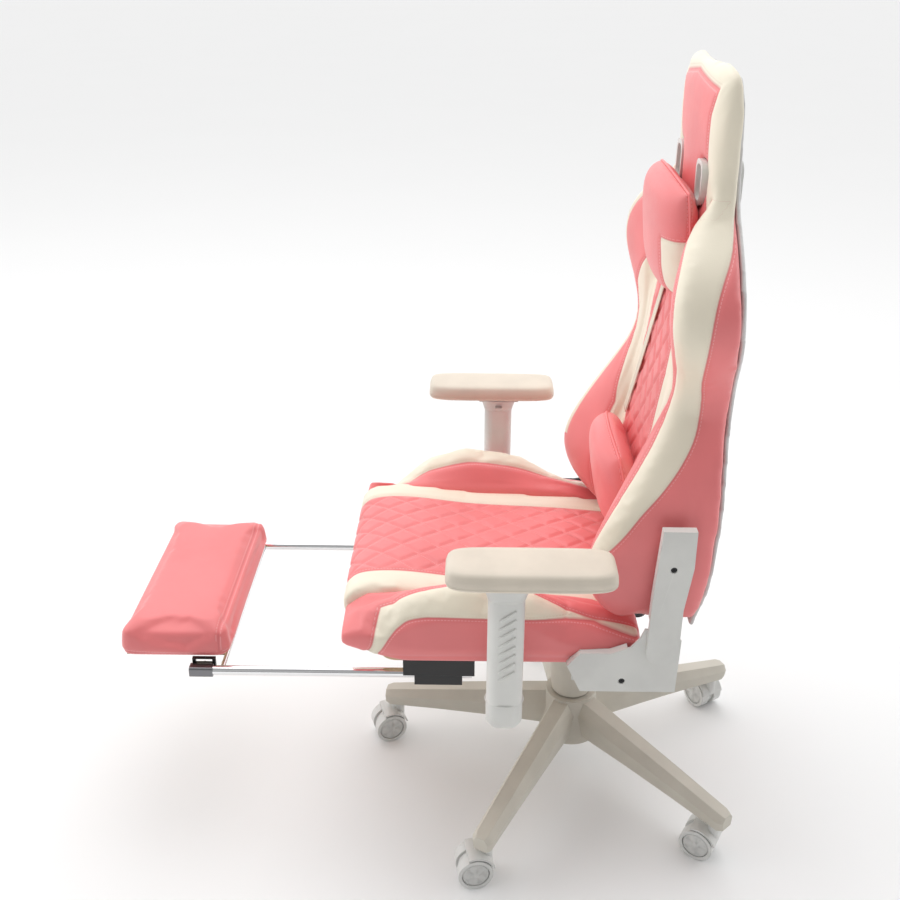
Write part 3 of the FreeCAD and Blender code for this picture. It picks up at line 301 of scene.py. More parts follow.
# near-black underside of the armrest pad: painted shade under the pad's rim
PAD_UNDER_SHADE = moulded("armrest underside shade", (0.10, 0.09, 0.08), rough=0.5)
BASE_PLASTIC = moulded("base nylon", BASE_GREIGE, rough=0.46, wear=0.09, edge=0.0016)
CASTER_PLASTIC = moulded("caster nylon", CASTER_WHITE, rough=0.3, wear=0.08)
BLACK_PLASTIC = moulded("black plastic", BLACK, rough=0.4)
BLACK_STEEL = painted("black steel", (0.02, 0.02, 0.022))
WHITE_STEEL = painted("white steel", SHELL_WHITE, 0.0)
CHROME = polished("chrome", (0.86, 0.86, 0.87), 0.06)
GROUND_STEEL = polished("ground steel", (0.62, 0.62, 0.64), 0.2)
TIP_METAL = polished("tip cap metal", (0.22, 0.22, 0.23), 0.28)
PLYWOOD = plywood("birch plywood")


# ---- Mesh helpers ----

def link_mesh(name, mesh, material, smooth=True):
    piece = bpy.data.objects.new(name, mesh)
    bpy.context.scene.collection.objects.link(piece)
    mesh.materials.clear()
    mesh.materials.append(material)
    if smooth:
        mesh.shade_smooth()
    return piece


def mesh_from(name, points, faces, material, smooth=True):
    mesh = bpy.data.meshes.new(name)
    mesh.from_pydata([tuple(p) for p in points], [], faces)
    mesh.validate()
    mesh.update()
    return link_mesh(name, mesh, material, smooth)


def get_points(piece):
    flat = np.empty(len(piece.data.vertices) * 3)
    piece.data.vertices.foreach_get("co", flat)
    return flat.reshape(-1, 3)


def set_points(piece, points):
    piece.data.vertices.foreach_set("co", np.asarray(points).ravel())
    piece.data.update()


def get_normals(piece):
    flat = np.empty(len(piece.data.vertices) * 3)
    piece.data.vertex_normals.foreach_get("vector", flat)
    return flat.reshape(-1, 3)


def put_values(piece, name, values):
    attribute = piece.data.attributes.new(name, "FLOAT", "POINT")
    attribute.data.foreach_set("value", np.asarray(values, dtype=np.float32))


def apply_modifiers(piece):
    """Bake every modifier of a piece into its mesh."""
    graph = bpy.context.evaluated_depsgraph_get()
    baked = bpy.data.meshes.new_from_object(piece.evaluated_get(graph))
    piece.modifiers.clear()
    piece.data = baked
    return piece


def welded_copy(nodes, name, material):
    """One welded mesh of CAD nodes' shapes, in a new piece."""
    points, faces, start = [], [], 0
    for node in nodes:
        mesh = frame["nodes"][node].data
        points += [tuple(v.co) for v in mesh.vertices]
        faces += [[start + i for i in p.vertices] for p in mesh.polygons]
        start = len(points)
    piece = mesh_from(name, points, faces, material)
    weld = piece.modifiers.new("weld", "WELD")
    weld.merge_threshold = 0.00002
    return apply_modifiers(piece)


def remeshed(piece, voxel, relax=0):
    step = piece.modifiers.new("remesh", "REMESH")
    step.mode = "VOXEL"
    step.voxel_size = voxel
    if relax:
        soften = piece.modifiers.new("relax", "SMOOTH")
        soften.factor = 0.5
        soften.iterations = relax
    return apply_modifiers(piece)


def subdivided(piece, levels=1):
    step = piece.modifiers.new("subdivide", "SUBSURF")
    step.levels = levels
    step.render_levels = levels
    apply_modifiers(piece)
    piece.data.shade_smooth()
    return piece


def inflate(piece, cap, held=None, pressure=4.0, frames=20):
    """Cloth simulation of a filled cover; held is each vertex's pinning, 0 to 1."""
    start = get_points(piece)
    cloth = piece.modifiers.new("cloth", "CLOTH")
    settings = cloth.settings
    settings.quality = 5
    settings.mass = 0.3
    settings.tension_stiffness = 15
    settings.compression_stiffness = 15
    settings.shear_stiffness = 5
    settings.bending_stiffness = 0.5
    settings.use_pressure = True
    settings.uniform_pressure_force = pressure
    settings.effector_weights.gravity = 0
    if held is not None:
        group = piece.vertex_groups.new(name="held")
        for level in np.unique(np.round(held, 1)):
            chosen = np.nonzero(np.round(held, 1) == level)[0]
            group.add([int(i) for i in chosen], float(level), "REPLACE")
        settings.vertex_group_mass = "held"
        settings.pin_stiffness = 3.0
    scene = bpy.context.scene
    for number in range(1, frames + 1):
        scene.frame_set(number)
    apply_modifiers(piece)
    piece.vertex_groups.clear()
    scene.frame_set(1)
    move = get_points(piece) - start
    length = np.linalg.norm(move, axis=1, keepdims=True)
    move *= np.minimum(1.0, cap / np.maximum(length, 1e-9))
    set_points(piece, start + move)
    return piece


def settle(piece, rounds=4):
    soften = piece.modifiers.new("settle", "SMOOTH")
    soften.factor = 0.5
    soften.iterations = rounds
    return apply_modifiers(piece)


def line_distance(points, line):
    """Distance to an open line, side of it (+1 left, -1 right) and run along it."""
    line = np.asarray(line, float)
    best = np.full(len(points), 1e9)
    side = np.ones(len(points))
    run = np.zeros(len(points))
    travelled = 0.0
    for a, b in zip(line, line[1:]):
        d = b - a
        size = np.hypot(*d)
        if size == 0:
            continue
        rel = points - a
        t = np.clip(rel @ d / size ** 2, 0, 1)
        off = rel - t[:, None] * d
        gap = np.hypot(off[:, 0], off[:, 1])
        closer = gap < best
        best = np.where(closer, gap, best)
        cross = d[0] * rel[:, 1] - d[1] * rel[:, 0]
        side = np.where(closer, np.where(cross >= 0, 1.0, -1.0), side)
        run = np.where(closer, travelled + t * size, run)
        travelled += size
    return best, side, run


def smooth_line(points, count=60):
    """Catmull-Rom line through the points."""
    p = np.asarray(points, float)
    p = np.vstack([2 * p[0] - p[1], p, 2 * p[-1] - p[-2]])
    spans = len(p) - 3
    out = []
    for value in np.linspace(0, spans, count):
        i = min(int(value), spans - 1)
        t = value - i
        a, b, c, d = p[i:i + 4]
        out.append(0.5 * (2 * b + (c - a) * t + (2 * a - 5 * b + 4 * c - d) * t ** 2
                          + (3 * b - a - 3 * c + d) * t ** 3))
    return np.array(out)


class Panels:
    """Collects seams, the cream areas and the quilting of one cushion, then shapes it."""

    def __init__(self, piece):
        self.piece = piece
        self.where = chair_mm(get_points(piece))
        count = len(self.where)
        self.seam = np.full(count, 1.0)
        self.run = np.zeros(count)
        self.cream = np.full(count, -1.0)
        self.quilted = np.zeros(count)
        self.quilt = np.zeros((count, 2))
        self.sink = np.zeros(count)

    def add_seam(self, distance, run, where=True, depth=2.4, width=4.0):
        """distance is signed, in mm; where limits the seam to part of the surface."""
        near = where & (np.abs(distance) < np.abs(self.seam) / MM)
        self.seam = np.where(near, distance * MM, self.seam)
        self.run = np.where(near, run * MM, self.run)
        groove = depth * np.exp(-(distance / width) ** 2)
        self.sink = np.maximum(self.sink, np.where(where, groove, 0))

    def add_fold(self, distance, where, depth, width):
        """A crease without a seam."""
        self.sink = np.maximum(self.sink, np.where(where, depth * np.exp(-(distance / width) ** 2), 0))

    def add_cream(self, inside):
        self.cream = np.maximum(self.cream, inside * MM)

    def add_quilting(self, u, v, inside, pitch_u, pitch_v, depth):
        """Diamonds pitch_u wide and pitch_v high in the (u, v) millimetres of the panel."""
        a = (u / pitch_u + v / pitch_v) * QUILT_PITCH
        b = (u / pitch_u - v / pitch_v) * QUILT_PITCH
        scale = 1 / math.hypot(1 / pitch_u, 1 / pitch_v)
        groove = np.zeros(len(u))
        for value in (a, b):
            share = np.abs(value / QUILT_PITCH - np.round(value / QUILT_PITCH))
            groove = np.maximum(groove, np.exp(-(share * scale / 4.2) ** 2) - 0.35 * share)
        fade = np.clip(inside / 6, 0, 1)
        self.sink = np.maximum(self.sink, groove * depth * fade)
        self.quilted = np.maximum(self.quilted, np.clip(inside / 2, 0, 1))
        self.quilt = np.where((inside > 0)[:, None], np.stack([a, b], 1), self.quilt)

    def finish(self, bulge=0.0):
        points = get_points(self.piece)
        normals = get_normals(self.piece)
        set_points(self.piece, points + normals * ((bulge - self.sink) * MM)[:, None])
        put_values(self.piece, "seam", self.seam)
        put_values(self.piece, "run", self.run)
        put_values(self.piece, "cream", self.cream)
        put_values(self.piece, "quilted", self.quilted)
        put_values(self.piece, "quilt_a", self.quilt[:, 0])
        put_values(self.piece, "quilt_b", self.quilt[:, 1])
        return self.piece


def tube(name, points, radius, material, cyclic=False):
    """Round cord or piping through the points."""
    curve = bpy.data.curves.new(name, "CURVE")
    curve.dimensions = "3D"
    curve.bevel_depth = radius
    curve.bevel_resolution = 3
    curve.use_fill_caps = True
    spline = curve.splines.new("POLY")
    spline.points.add(len(points) - 1)
    for slot, p in zip(spline.points, points):
        slot.co = (*p, 1.0)
    spline.use_cyclic_u = cyclic
    curve.materials.append(material)
    piece = bpy.data.objects.new(name, curve)
    bpy.context.scene.collection.objects.link(piece)
    return piece


def loft(name, rings, material, capped=True):
    """Skin over closed rings of the same number of points."""
    count = len(rings[0])
    points = [p for ring in rings for p in ring]
    faces = []
    for level in range(len(rings) - 1):
        for i in range(count):
            j = (i + 1) % count
            a = level * count
            faces.append([a + i, a + j, a + count + j, a + count + i])
    if capped:
        faces.append(list(range(count))[::-1])
        faces.append([(len(rings) - 1) * count + i for i in range(count)])
    return mesh_from(name, points, faces, material)


def superellipse(half_x, half_y, power, count=48):
    """Rounded-rectangle ring about the origin, counter-clockwise."""
    ring = []
    for index in range(count):
        t = 2 * math.pi * index / count
        c, s = math.cos(t), math.sin(t)
        ring.append((half_x * math.copysign(abs(c) ** (2 / power), c),
                     half_y * math.copysign(abs(s) ** (2 / power), s)))
    return ring


def bevelled(nodes, name, material, width, body, slot, segments=3, angle=32):
    """Softened copy of CAD nodes, which it replaces."""
    piece = welded_copy(nodes, name, material)
    flat = piece.modifiers.new("flatten", "DECIMATE")
    flat.decimate_type = "DISSOLVE"
    flat.angle_limit = math.radians(1.0)
    step = piece.modifiers.new("bevel", "BEVEL")
    step.width = width
    step.segments = segments
    step.limit_method = "ANGLE"
    step.angle_limit = math.radians(angle)
    step.harden_normals = True
    step.use_clamp_overlap = True
    apply_modifiers(piece)
    return belongs(piece, body, slot, *nodes)


def belongs(piece, body, slot, *nodes):
    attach(piece, body)
    if nodes:
        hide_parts(*nodes)
    return piece


# ---- Backrest ----

CHANNEL_HALF = 132.0             # flat centre panel between the wings, mm
STRIPE_INNER = 96.0              # quilted centre to cream stripe
STRIPE_HEIGHTS = (600, 680, 730, 800, 850, 900, 935, 960)
STRIPE_OUTER = (134, 136, 148, 162, 176, 186, 160, 137)
WRAP_HEIGHTS = (500, 650, 800, 1060, 1160, 1230, 1290)
WALL_WRAP = (38, 32, 25, 25, 40, 40, 12)       # how far the cream edge band wraps onto the front
BAND_REAR = [(196, 1240), (190, 1180), (180, 1112), (168, 1068), (148, 1028), (137, 990), (133, 935),
             (136, 880), (143, 832), (138, 786), (119, 744), (92, 704), (62, 668), (36, 632), (2, 592)]


def profile_by_height(where, values, keep, low=True, step=8.0):
    """Smallest or largest of some values in steps of height, as two arrays for np.interp."""
    heights, found = [], []
    z = where[:, 2]
    for level in np.arange(z.min(), z.max() + step, step):
        chosen = keep & (np.abs(z - level) < step * 0.75)
        if chosen.any():
            heights.append(level)
            found.append(values[chosen].min() if low else values[chosen].max())
    return np.array(heights), np.array(found)


def filled_back():
    """The foam's shape with the tube frame's room filled in."""
    foam = welded_copy(["back_cushion"], "back foam", LEATHER)
    bars = welded_copy(["back_frame"], "bars", LEATHER)
    points = get_points(bars) + get_normals(bars) * 1.2 * MM
    points[:, 0] = np.clip(points[:, 0], -0.236, 0.236)
    start = len(foam.data.vertices)
    faces = [list(p.vertices) for p in foam.data.polygons]
    faces += [[start + i for i in p.vertices] for p in bars.data.polygons]
    joined = mesh_from("back_upholstery", list(get_points(foam)) + list(points), faces, LEATHER)
    for spare in (foam, bars):
        bpy.data.objects.remove(spare)
    return joined


def smoothstep(share):
    share = np.clip(share, 0, 1)
    return share * share * (3 - 2 * share)


def pull_rear_edges(piece):
    """Round the rear of the back towards its sides and fill out the top corners of the head."""
    points = get_points(piece)
    where = chair_mm(points)
    corner = (np.minimum(np.abs(where[:, 0]), 140) / 140) ** 3 * smoothstep((where[:, 2] - 1150) / 110)
    points[:, 2] += 32 * corner * (0.2 + 0.8 * smoothstep((where[:, 1] - 138) / 30)) * MM
    weight = np.clip((where[:, 1] - 140) / 45, 0, 1) * smoothstep((where[:, 2] - 640) / 160)
    points[:, 1] -= 15 * np.minimum(np.abs(where[:, 0]) / 230, 1.1) ** 2 * weight * MM
    set_points(piece, points)


def dish_wings(piece):
    """Slope the front of each wing from its outer ridge down to the centre panel."""
    points = get_points(piece)
    where = chair_mm(points)
    out = np.abs(where[:, 0])
    ridge = profile_by_height(where, where[:, 1], out > CHANNEL_HALF + 8)
    panel = profile_by_height(where, where[:, 1], out < CHANNEL_HALF - 30)
    width = profile_by_height(where, out, out > 0, low=False)
    front = np.interp(where[:, 2], *ridge)
    centre = np.interp(where[:, 2], *panel)
    half = np.interp(where[:, 2], *width)
    t = np.clip((out - CHANNEL_HALF) / np.maximum(half - 26 - CHANNEL_HALF, 20), 0, 1)
    drop = np.maximum(centre - front, 0) * 0.62 * (1 - t) ** 1.4
    on_front = np.clip(1 - (where[:, 1] - front) / 60, 0, 1) * (out > CHANNEL_HALF - 4)
    roll = np.clip((out - (half - 20)) / 20, 0, 1) ** 2 * 9
    span = smoothstep((where[:, 2] - 600) / 80) * smoothstep((1030 - where[:, 2]) / 80)
    hollow = 8 * smoothstep((146 - out) / 40) * span * np.clip(1 - (where[:, 1] - centre) / 60, 0, 1)
    points[:, 1] += hollow * MM
    head = smoothstep((where[:, 2] - 1060) / 80)
    level_up = np.maximum(centre - front - drop, 0) * on_front * (out > CHANNEL_HALF)
    crown = (10 * (out / 130) ** 2 - 3) * np.clip(1 - (where[:, 1] - front) / 60, 0, 1)
    points[:, 1] += ((drop + roll) * on_front + head * (level_up * 0.8 + crown)) * MM
    set_points(piece, points)
    pull_rear_edges(piece)


def back_fields(panels):
    """Seam lines, cream areas and quilting of the backrest."""
    where = panels.where
    out, depth, height = np.abs(where[:, 0]), where[:, 1], where[:, 2]
    widths = profile_by_height(where, out, out > 0, low=False)
    outline = [(w, z) for z, w in zip(*widths)] + [(0, height.max())]
    wall, _, wall_run = line_distance(np.stack([out, height], 1), outline[::2] + [outline[-1]])
    band = smooth_line(BAND_REAR)
    gap, side, band_run = line_distance(where[:, 1:], band)
    ahead = np.where(height > BAND_REAR[0][1], 60, gap * -side)
    front = np.interp(height, *profile_by_height(where, depth, out > CHANNEL_HALF + 8))
    wrap = np.interp(height, WRAP_HEIGHTS, WALL_WRAP)
    panels.add_cream(np.minimum(wrap - wall, ahead))
    panels.add_seam(wall - wrap, wall_run, (ahead > -2) & (depth < front + 42), 2.6, 4.0)
    panels.add_seam(-ahead, band_run, (wall < wrap + 12) & (height < BAND_REAR[0][1]), 2.2, 4.0)

    rise = np.clip((height - 950) / 100, 0, 1)
    inner = STRIPE_INNER + (CHANNEL_HALF + 5 - STRIPE_INNER) * rise * rise * (3 - 2 * rise)
    facing = depth < np.interp(height, *profile_by_height(where, depth, out < 60)) + 45
    below = height < 1052
    outer = np.maximum(np.interp(height, STRIPE_HEIGHTS, STRIPE_OUTER), CHANNEL_HALF + 5)
    panels.add_cream(np.where(facing & below, np.minimum(out - inner, outer - out), -50))
    panels.add_seam(out - outer, height, facing & (height < 1120), 2.6, 4.0)
    panels.add_seam(inner - out, height, facing & below, 3.0, 4.5)
    panels.add_fold(out - CHANNEL_HALF - 5, facing & (height < 960), 3.4, 5.0)
    inside = np.minimum(inner - 3 - out, 1004 - height)
    panels.add_quilting(where[:, 0], height, np.where(facing, inside, -1), 48.0, 66.0, 3.6)
    panels.add_seam(1006 - height, where[:, 0], facing & (out < inner), 2.6, 4.0)


def build_back():
    piece = remeshed(filled_back(), 0.0065, 4)
    dish_wings(piece)
    settle(piece, 12)
    where = chair_mm(get_points(piece))
    channel = np.exp(-((np.abs(where[:, 0]) - CHANNEL_HALF) / 12) ** 2)
    hidden = np.clip((where[:, 1] - np.interp(where[:, 2], [480, 1300], [150, 170])) / 10, 0, 1)
    inflate(piece, 0.009, np.maximum(channel, hidden))
    subdivided(piece)
    panels = Panels(piece)
    back_fields(panels)
    panels.finish(1.0)
    return belongs(piece, "backrest", "pink_upholstery", "back_cushion")


def build_back_cover():
    piece = remeshed(welded_copy(["back_cover"], "back_rear_cover", COVER_UPHOLSTERY), 0.0045, 5)
    pull_rear_edges(piece)
    subdivided(piece)
    panels = Panels(piece)
    where = panels.where
    out = np.abs(where[:, 0])
    widths = profile_by_height(where, out, out > 0, low=False)
    outline = [(w, z) for z, w in zip(*widths)] + [(0, where[:, 2].max())]
    rim, _, run = line_distance(np.stack([out, where[:, 2]], 1), outline[::2] + [outline[-1]])
    panels.add_seam(rim - 30, run, where[:, 2] > 560, 1.6, 4.0)
    panels.add_seam(where[:, 2] - 1010, where[:, 0], rim > 30, 1.6, 4.0)
    panels.add_seam(out - 88, where[:, 2], (where[:, 2] < 1010) & (rim > 30), 1.6, 4.0)
    panels.finish()
    return belongs(piece, "backrest", "white_upholstery", "back_cover")


# ---- Seat ----

SEAT_SEAM = 125.0                # quilted centre to cream stripe, half width


def build_seat_centre():
    piece = remeshed(welded_copy(["seat_cushion"], "seat_centre_upholstery", LEATHER), 0.006, 10)
    where = chair_mm(get_points(piece))
    seam = np.exp(-((np.abs(where[:, 0]) - SEAT_SEAM) / 9) ** 2)
    low = np.clip((440 - where[:, 2]) / 12, 0, 1)
    inflate(piece, 0.009, np.maximum(seam, low))
    subdivided(piece)
    panels = Panels(piece)
    where = panels.where
    out = np.abs(where[:, 0])
    top = profile_line(where, out < 60)
    _, _, run = line_distance(where[:, 1:], top)
    upper = where[:, 2] > 425
    panels.add_cream(out - SEAT_SEAM)
    panels.add_seam(out - SEAT_SEAM, run, upper, 3.2, 4.5)
    inside = np.minimum(SEAT_SEAM - 3 - out, np.where(upper, 40, -1))
    panels.add_quilting(where[:, 0], run, inside, 50.0, 64.0, 3.0)
    panels.finish(2.0)
    return belongs(piece, "seat", "pink_upholstery", "seat_cushion")


def profile_line(where, keep):
    """Upper line of a cushion from rear to front and down its nose, as (y, z)."""
    y, z = where[keep][:, 1], where[keep][:, 2]
    line = []
    for level in np.arange(y.max() - 4, y.min() + 20, -12):
        near = np.abs(y - level) < 8
        line.append((level, z[near].max()))
    for level in np.arange(line[-1][1] - 8, 424, -10):
        near = np.abs(z - level) < 8
        line.append((y[near].min(), level))
    return np.array(line)


STRIPE_LOW = [(-332, 424), (-325, 438), (-314, 459), (-300, 476), (-280, 489), (-243, 495), (-175, 495),
              (-78, 489), (-12, 474), (55, 457), (90, 449)]
STRIPE_HIGH = [(-352, 424), (-343, 440), (-337, 467), (-330, 490), (-316, 512), (-300, 540), (-284, 580)]
CREST_X = {"left": 226.0, "right": 207.0}      # inner edge of the cream band on each bolster
CREST_PLACES = (-392, -350, -315, -270, -200, -140, -90, -40, 20)
CREST_LIFT = {"left": (-3, -10, -8, 2, 7, 7, 3, -4, -3), "right": (-44, -44, -28, -3, 7, 7, 3, -1, 0)}


def build_bolster(name):
    node = "seat_bolster_" + name
    piece = remeshed(welded_copy([node], node + "_upholstery", LEATHER), 0.0055, 9)
    where = chair_mm(get_points(piece))
    crest_share = smoothstep((np.abs(where[:, 0]) - 180) / 30) * smoothstep((where[:, 2] - 445) / 40)
    lift = np.interp(where[:, 1], CREST_PLACES, CREST_LIFT[name])
    points = get_points(piece)
    points[:, 2] += lift * crest_share * MM
    set_points(piece, points)
    inner = np.clip((186 - np.abs(where[:, 0])) / 8, 0, 1)
    low = np.clip((424 - where[:, 2]) / 10, 0, 1)
    inflate(piece, 0.009, np.maximum(inner * 0.8, low))
    subdivided(piece)
    panels = Panels(piece)
    where = panels.where
    out = np.abs(where[:, 0])
    gap, side, run = line_distance(where[:, 1:], smooth_line(STRIPE_LOW))
    above = gap * side
    high_gap, high_side, high_run = line_distance(where[:, 1:], smooth_line(STRIPE_HIGH))
    below = -high_gap * high_side
    inward = out - CREST_X[name]
    panels.add_cream(np.minimum(np.minimum(above, below), inward))
    panels.add_seam(above, run, (inward > -2) & (below > -2), 2.4, 4.0)
    panels.add_seam(below, high_run, (inward > -2) & (above > -2), 2.4, 4.0)
    panels.add_seam(inward, where[:, 1], (above > -2) & (below > -2), 2.6, 4.5)
    panels.finish(2.0)
    return belongs(piece, "seat", "pink_upholstery", node)


# ---- Pillows and strap ----

STRAP_WIDTH = 0.018
STRAP_THICKNESS = 0.0012
STRAP_FROM = (-88, 692)          # lower end as (x, z), mm
STRAP_TO = (-10, 968)
STRAP_STEPS = 44
STRAP_LANES = 6


def pillow_grid(name, half_u, half_v, thick_front, thick_rear, swell, rounding, place, count=44):
    """Two-panel pillow; place maps local (u, v, w) metres into the frame.

    swell arches its upper and lower edges, rounding draws its corners in."""
    points, faces, index = [], [], {}
    values = [math.sin(math.pi / 2 * (2 * k / count - 1)) for k in range(count + 1)]
    for layer, thick in ((1, thick_front), (-1, thick_rear)):
        for i, a in enumerate(values):
            for j, b in enumerate(values):
                edge = i in (0, count) or j in (0, count)
                key = (i, j) if edge else (layer, i, j)
                if key in index:
                    continue
                u = half_u * a * math.sqrt(1 - rounding * b * b / 2)
                v = half_v * b * (1 + swell * (1 - a * a)) * math.sqrt(1 - rounding * a * a / 2)
                w = layer * thick * ((1 - a ** 4) * (1 - b ** 4)) ** 0.42
                index[key] = len(points)
                points.append(place(u, v, w))
        for i in range(count):
            for j in range(count):
                corner = [(i, j), (i + 1, j), (i + 1, j + 1), (i, j + 1)]
                ids = [index[c] if c in index else index[(layer, *c)] for c in corner]
                faces.append(ids if layer > 0 else ids[::-1])
    rim = [index[(i, 0)] for i in range(count)] + [index[(count, j)] for j in range(count)]
    rim += [index[(i, count)] for i in range(count, 0, -1)] + [index[(0, j)] for j in range(count, 0, -1)]
    return mesh_from(name, points, faces, LEATHER), rim


def build_pillow(name, node, tilt, half_u, half_v, front, rear, swell, rounding, bend, centre,
                 cream_edge, cream_top):
    """A pillow whose ends bend back towards the panel it lies on."""
    angle = math.radians(tilt)
    outward = Vector((0, -math.cos(angle), math.sin(angle)))
    upward = Vector((0, math.sin(angle), math.cos(angle)))
    sideways = Vector((1, 0, 0))

    def place(u, v, w):
        return centre + sideways * u + upward * v + outward * (w - bend * (u / half_u) ** 2)

    piece, rim = pillow_grid(name, half_u, half_v, front, rear, swell, rounding, place)
    held = np.zeros(len(piece.data.vertices))
    held[rim] = 0.4
    inflate(piece, 0.016, held, pressure=5.0, frames=16)
    rim_points = [piece.data.vertices[i].co.copy() for i in rim]
    subdivided(piece)
    panels = Panels(piece)
    local = get_points(piece) - np.array(centre)
    u = np.abs(local[:, 0]) / MM
    v = local @ np.array(upward) / MM
    w = (local @ np.array(outward) + bend * (u * MM / half_u) ** 2) / MM
    panels.add_cream(np.minimum(u - cream_edge, cream_top - v))
    panels.add_seam(u - cream_edge, v, v < cream_top, 2.0, 3.5)
    panels.add_seam(cream_top - v, u, u > cream_edge, 2.0, 3.5)
    panels.add_seam(w, u + v, (np.abs(v) > half_v / MM * 0.8) | (u > half_u / MM * 0.86), 1.2, 3.0)
    wrinkle = np.sin(v / 5.2 + np.sin(u / 17) * 1.3) * np.exp(-((u - half_u / MM) / 34) ** 2)
    panels.sink += np.where((u > cream_edge) & (v < cream_top), wrinkle * 1.1 + 0.6, 0)
    panels.finish()
    belongs(piece, "backrest", "pink_upholstery", node)
    piping = tube(name + "_piping", rim_points[::2], 0.0022, PIPING_PINK, True)
    belongs(piping, "backrest", "pink_upholstery")
    return piece


def build_pillows():
    low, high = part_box("neck_pillow")
    centre = (low + high) / 2
    build_pillow("neck_pillow_cover", "neck_pillow", -5, 0.128, 0.080, 0.036, 0.024, 0.13, 0.12, 0.008,
                 centre + Vector((0, 0.012, -0.003)), 84.0, 8.0)
    low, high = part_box("lumbar_pillow")
    centre = (low + high) / 2
    build_pillow("lumbar_pillow_cover", "lumbar_pillow", -9, 0.116, 0.084, 0.036, 0.030, 0.0, 0.75, 0.008,
                 centre + Vector((0, 0.006, -0.008)), 78.0, -46.0)


def build_strap(back):
    """Elastic strap stretched over the centre panel between the two pillows."""
    where = chair_mm(get_points(back))
    line = profile_by_height(where, where[:, 1], np.abs(where[:, 0]) < 60)
    rows = []
    for t in np.linspace(0, 1, STRAP_STEPS):
        x = STRAP_FROM[0] + (STRAP_TO[0] - STRAP_FROM[0]) * t
        z = STRAP_FROM[1] + (STRAP_TO[1] - STRAP_FROM[1]) * t
        rows.append(at(x, float(np.interp(z, *line)) - 2.6, z))
    across = Vector((0.965, 0, -0.262))     # square to the strap's run
    count = STRAP_LANES + 1
    points, faces = [], []
    for row in rows:
        points += [row + across * STRAP_WIDTH * (k / STRAP_LANES - 0.5) for k in range(count)]
    for r in range(len(rows) - 1):
        for k in range(r * count, r * count + STRAP_LANES):
            faces.append([k, k + 1, k + count + 1, k + count])
    strap = mesh_from("pillow_strap", points, faces, STRAP_CREAM)
    thick = strap.modifiers.new("thick", "SOLIDIFY")
    thick.thickness = STRAP_THICKNESS
    thick.offset = 0
    apply_modifiers(strap)
    length = sum((b - a).length for a, b in zip(rows, rows[1:]))
    belongs(strap, "backrest", "white_upholstery")


# ---- Footrest ----

def build_foot_pad():
    piece = remeshed(welded_copy(["footrest_pad"], "footrest_pad_upholstery", LEATHER), 0.005, 7)
    where = chair_mm(get_points(piece))
    low, high = chair_mm([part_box("footrest_pad")[0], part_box("footrest_pad")[1]])
    under = np.clip((low[2] + 9 - where[:, 2]) / 6, 0, 1)
    inflate(piece, 0.007, under)
    subdivided(piece)
    panels = Panels(piece)
    where = panels.where
    upper = where[:, 2] > low[2] + 12
    panels.add_seam(high[1] - 15 - where[:, 1], where[:, 0], upper, 2.0, 3.5)
    panels.add_seam(where[:, 2] - low[2] - 9, where[:, 0] + where[:, 1], True, 1.8, 3.0)
    panels.finish(1.5)
    return belongs(piece, "footrest_pad", "pink_upholstery", "footrest_pad")


# ---- Armrests ----

PAD_PROFILE = ((0.0, 0.014), (0.0006, 0.009), (0.004, 0.0022), (0.0075, 0.0002), (0.0088, 0.0012),
               (0.0098, 0.0), (0.019, 0.0006), (0.0255, 0.0026), (0.0287, 0.0050), (0.0303, 0.0095),
               (0.0309, 0.018))  # height above the pad's underside, inset of its outline
PAD_SQUARENESS = 5.6
# top of the pad's near-black band of painted shade
PAD_SHADE_TOP = 0.0035
PAD_RIM_TOP = 0.0092
RIB_COUNT = 8
RIB_PITCH = 0.0150


def build_arm_pad(name):
    node = "arm_pad_" + name
    low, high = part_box(node)
    centre = (low + high) / 2
    half_x, half_y = (high.x - low.x) / 2, (high.y - low.y) / 2
    rings = []
    for height, inset in PAD_PROFILE:
        ring = superellipse(half_x - inset, half_y - inset, PAD_SQUARENESS, 72)
        rings.append([Vector((centre.x + x, centre.y + y, low.z + height)) for x, y in ring])
    piece = loft(node + "_top", rings, PAD_PLASTIC)
    piece.data.materials.append(PAD_RIM)
    piece.data.materials.append(PAD_UNDER_SHADE)
    for face in piece.data.polygons:
        height = face.center.z - low.z
        # the lowest band of the pad takes the near-black painted shade, the band above it the rim colour
        face.material_index = 2 if height < PAD_SHADE_TOP else 1 if height < PAD_RIM_TOP else 0
    return belongs(piece, "arm_pad_" + name, "pad_plastic", node)


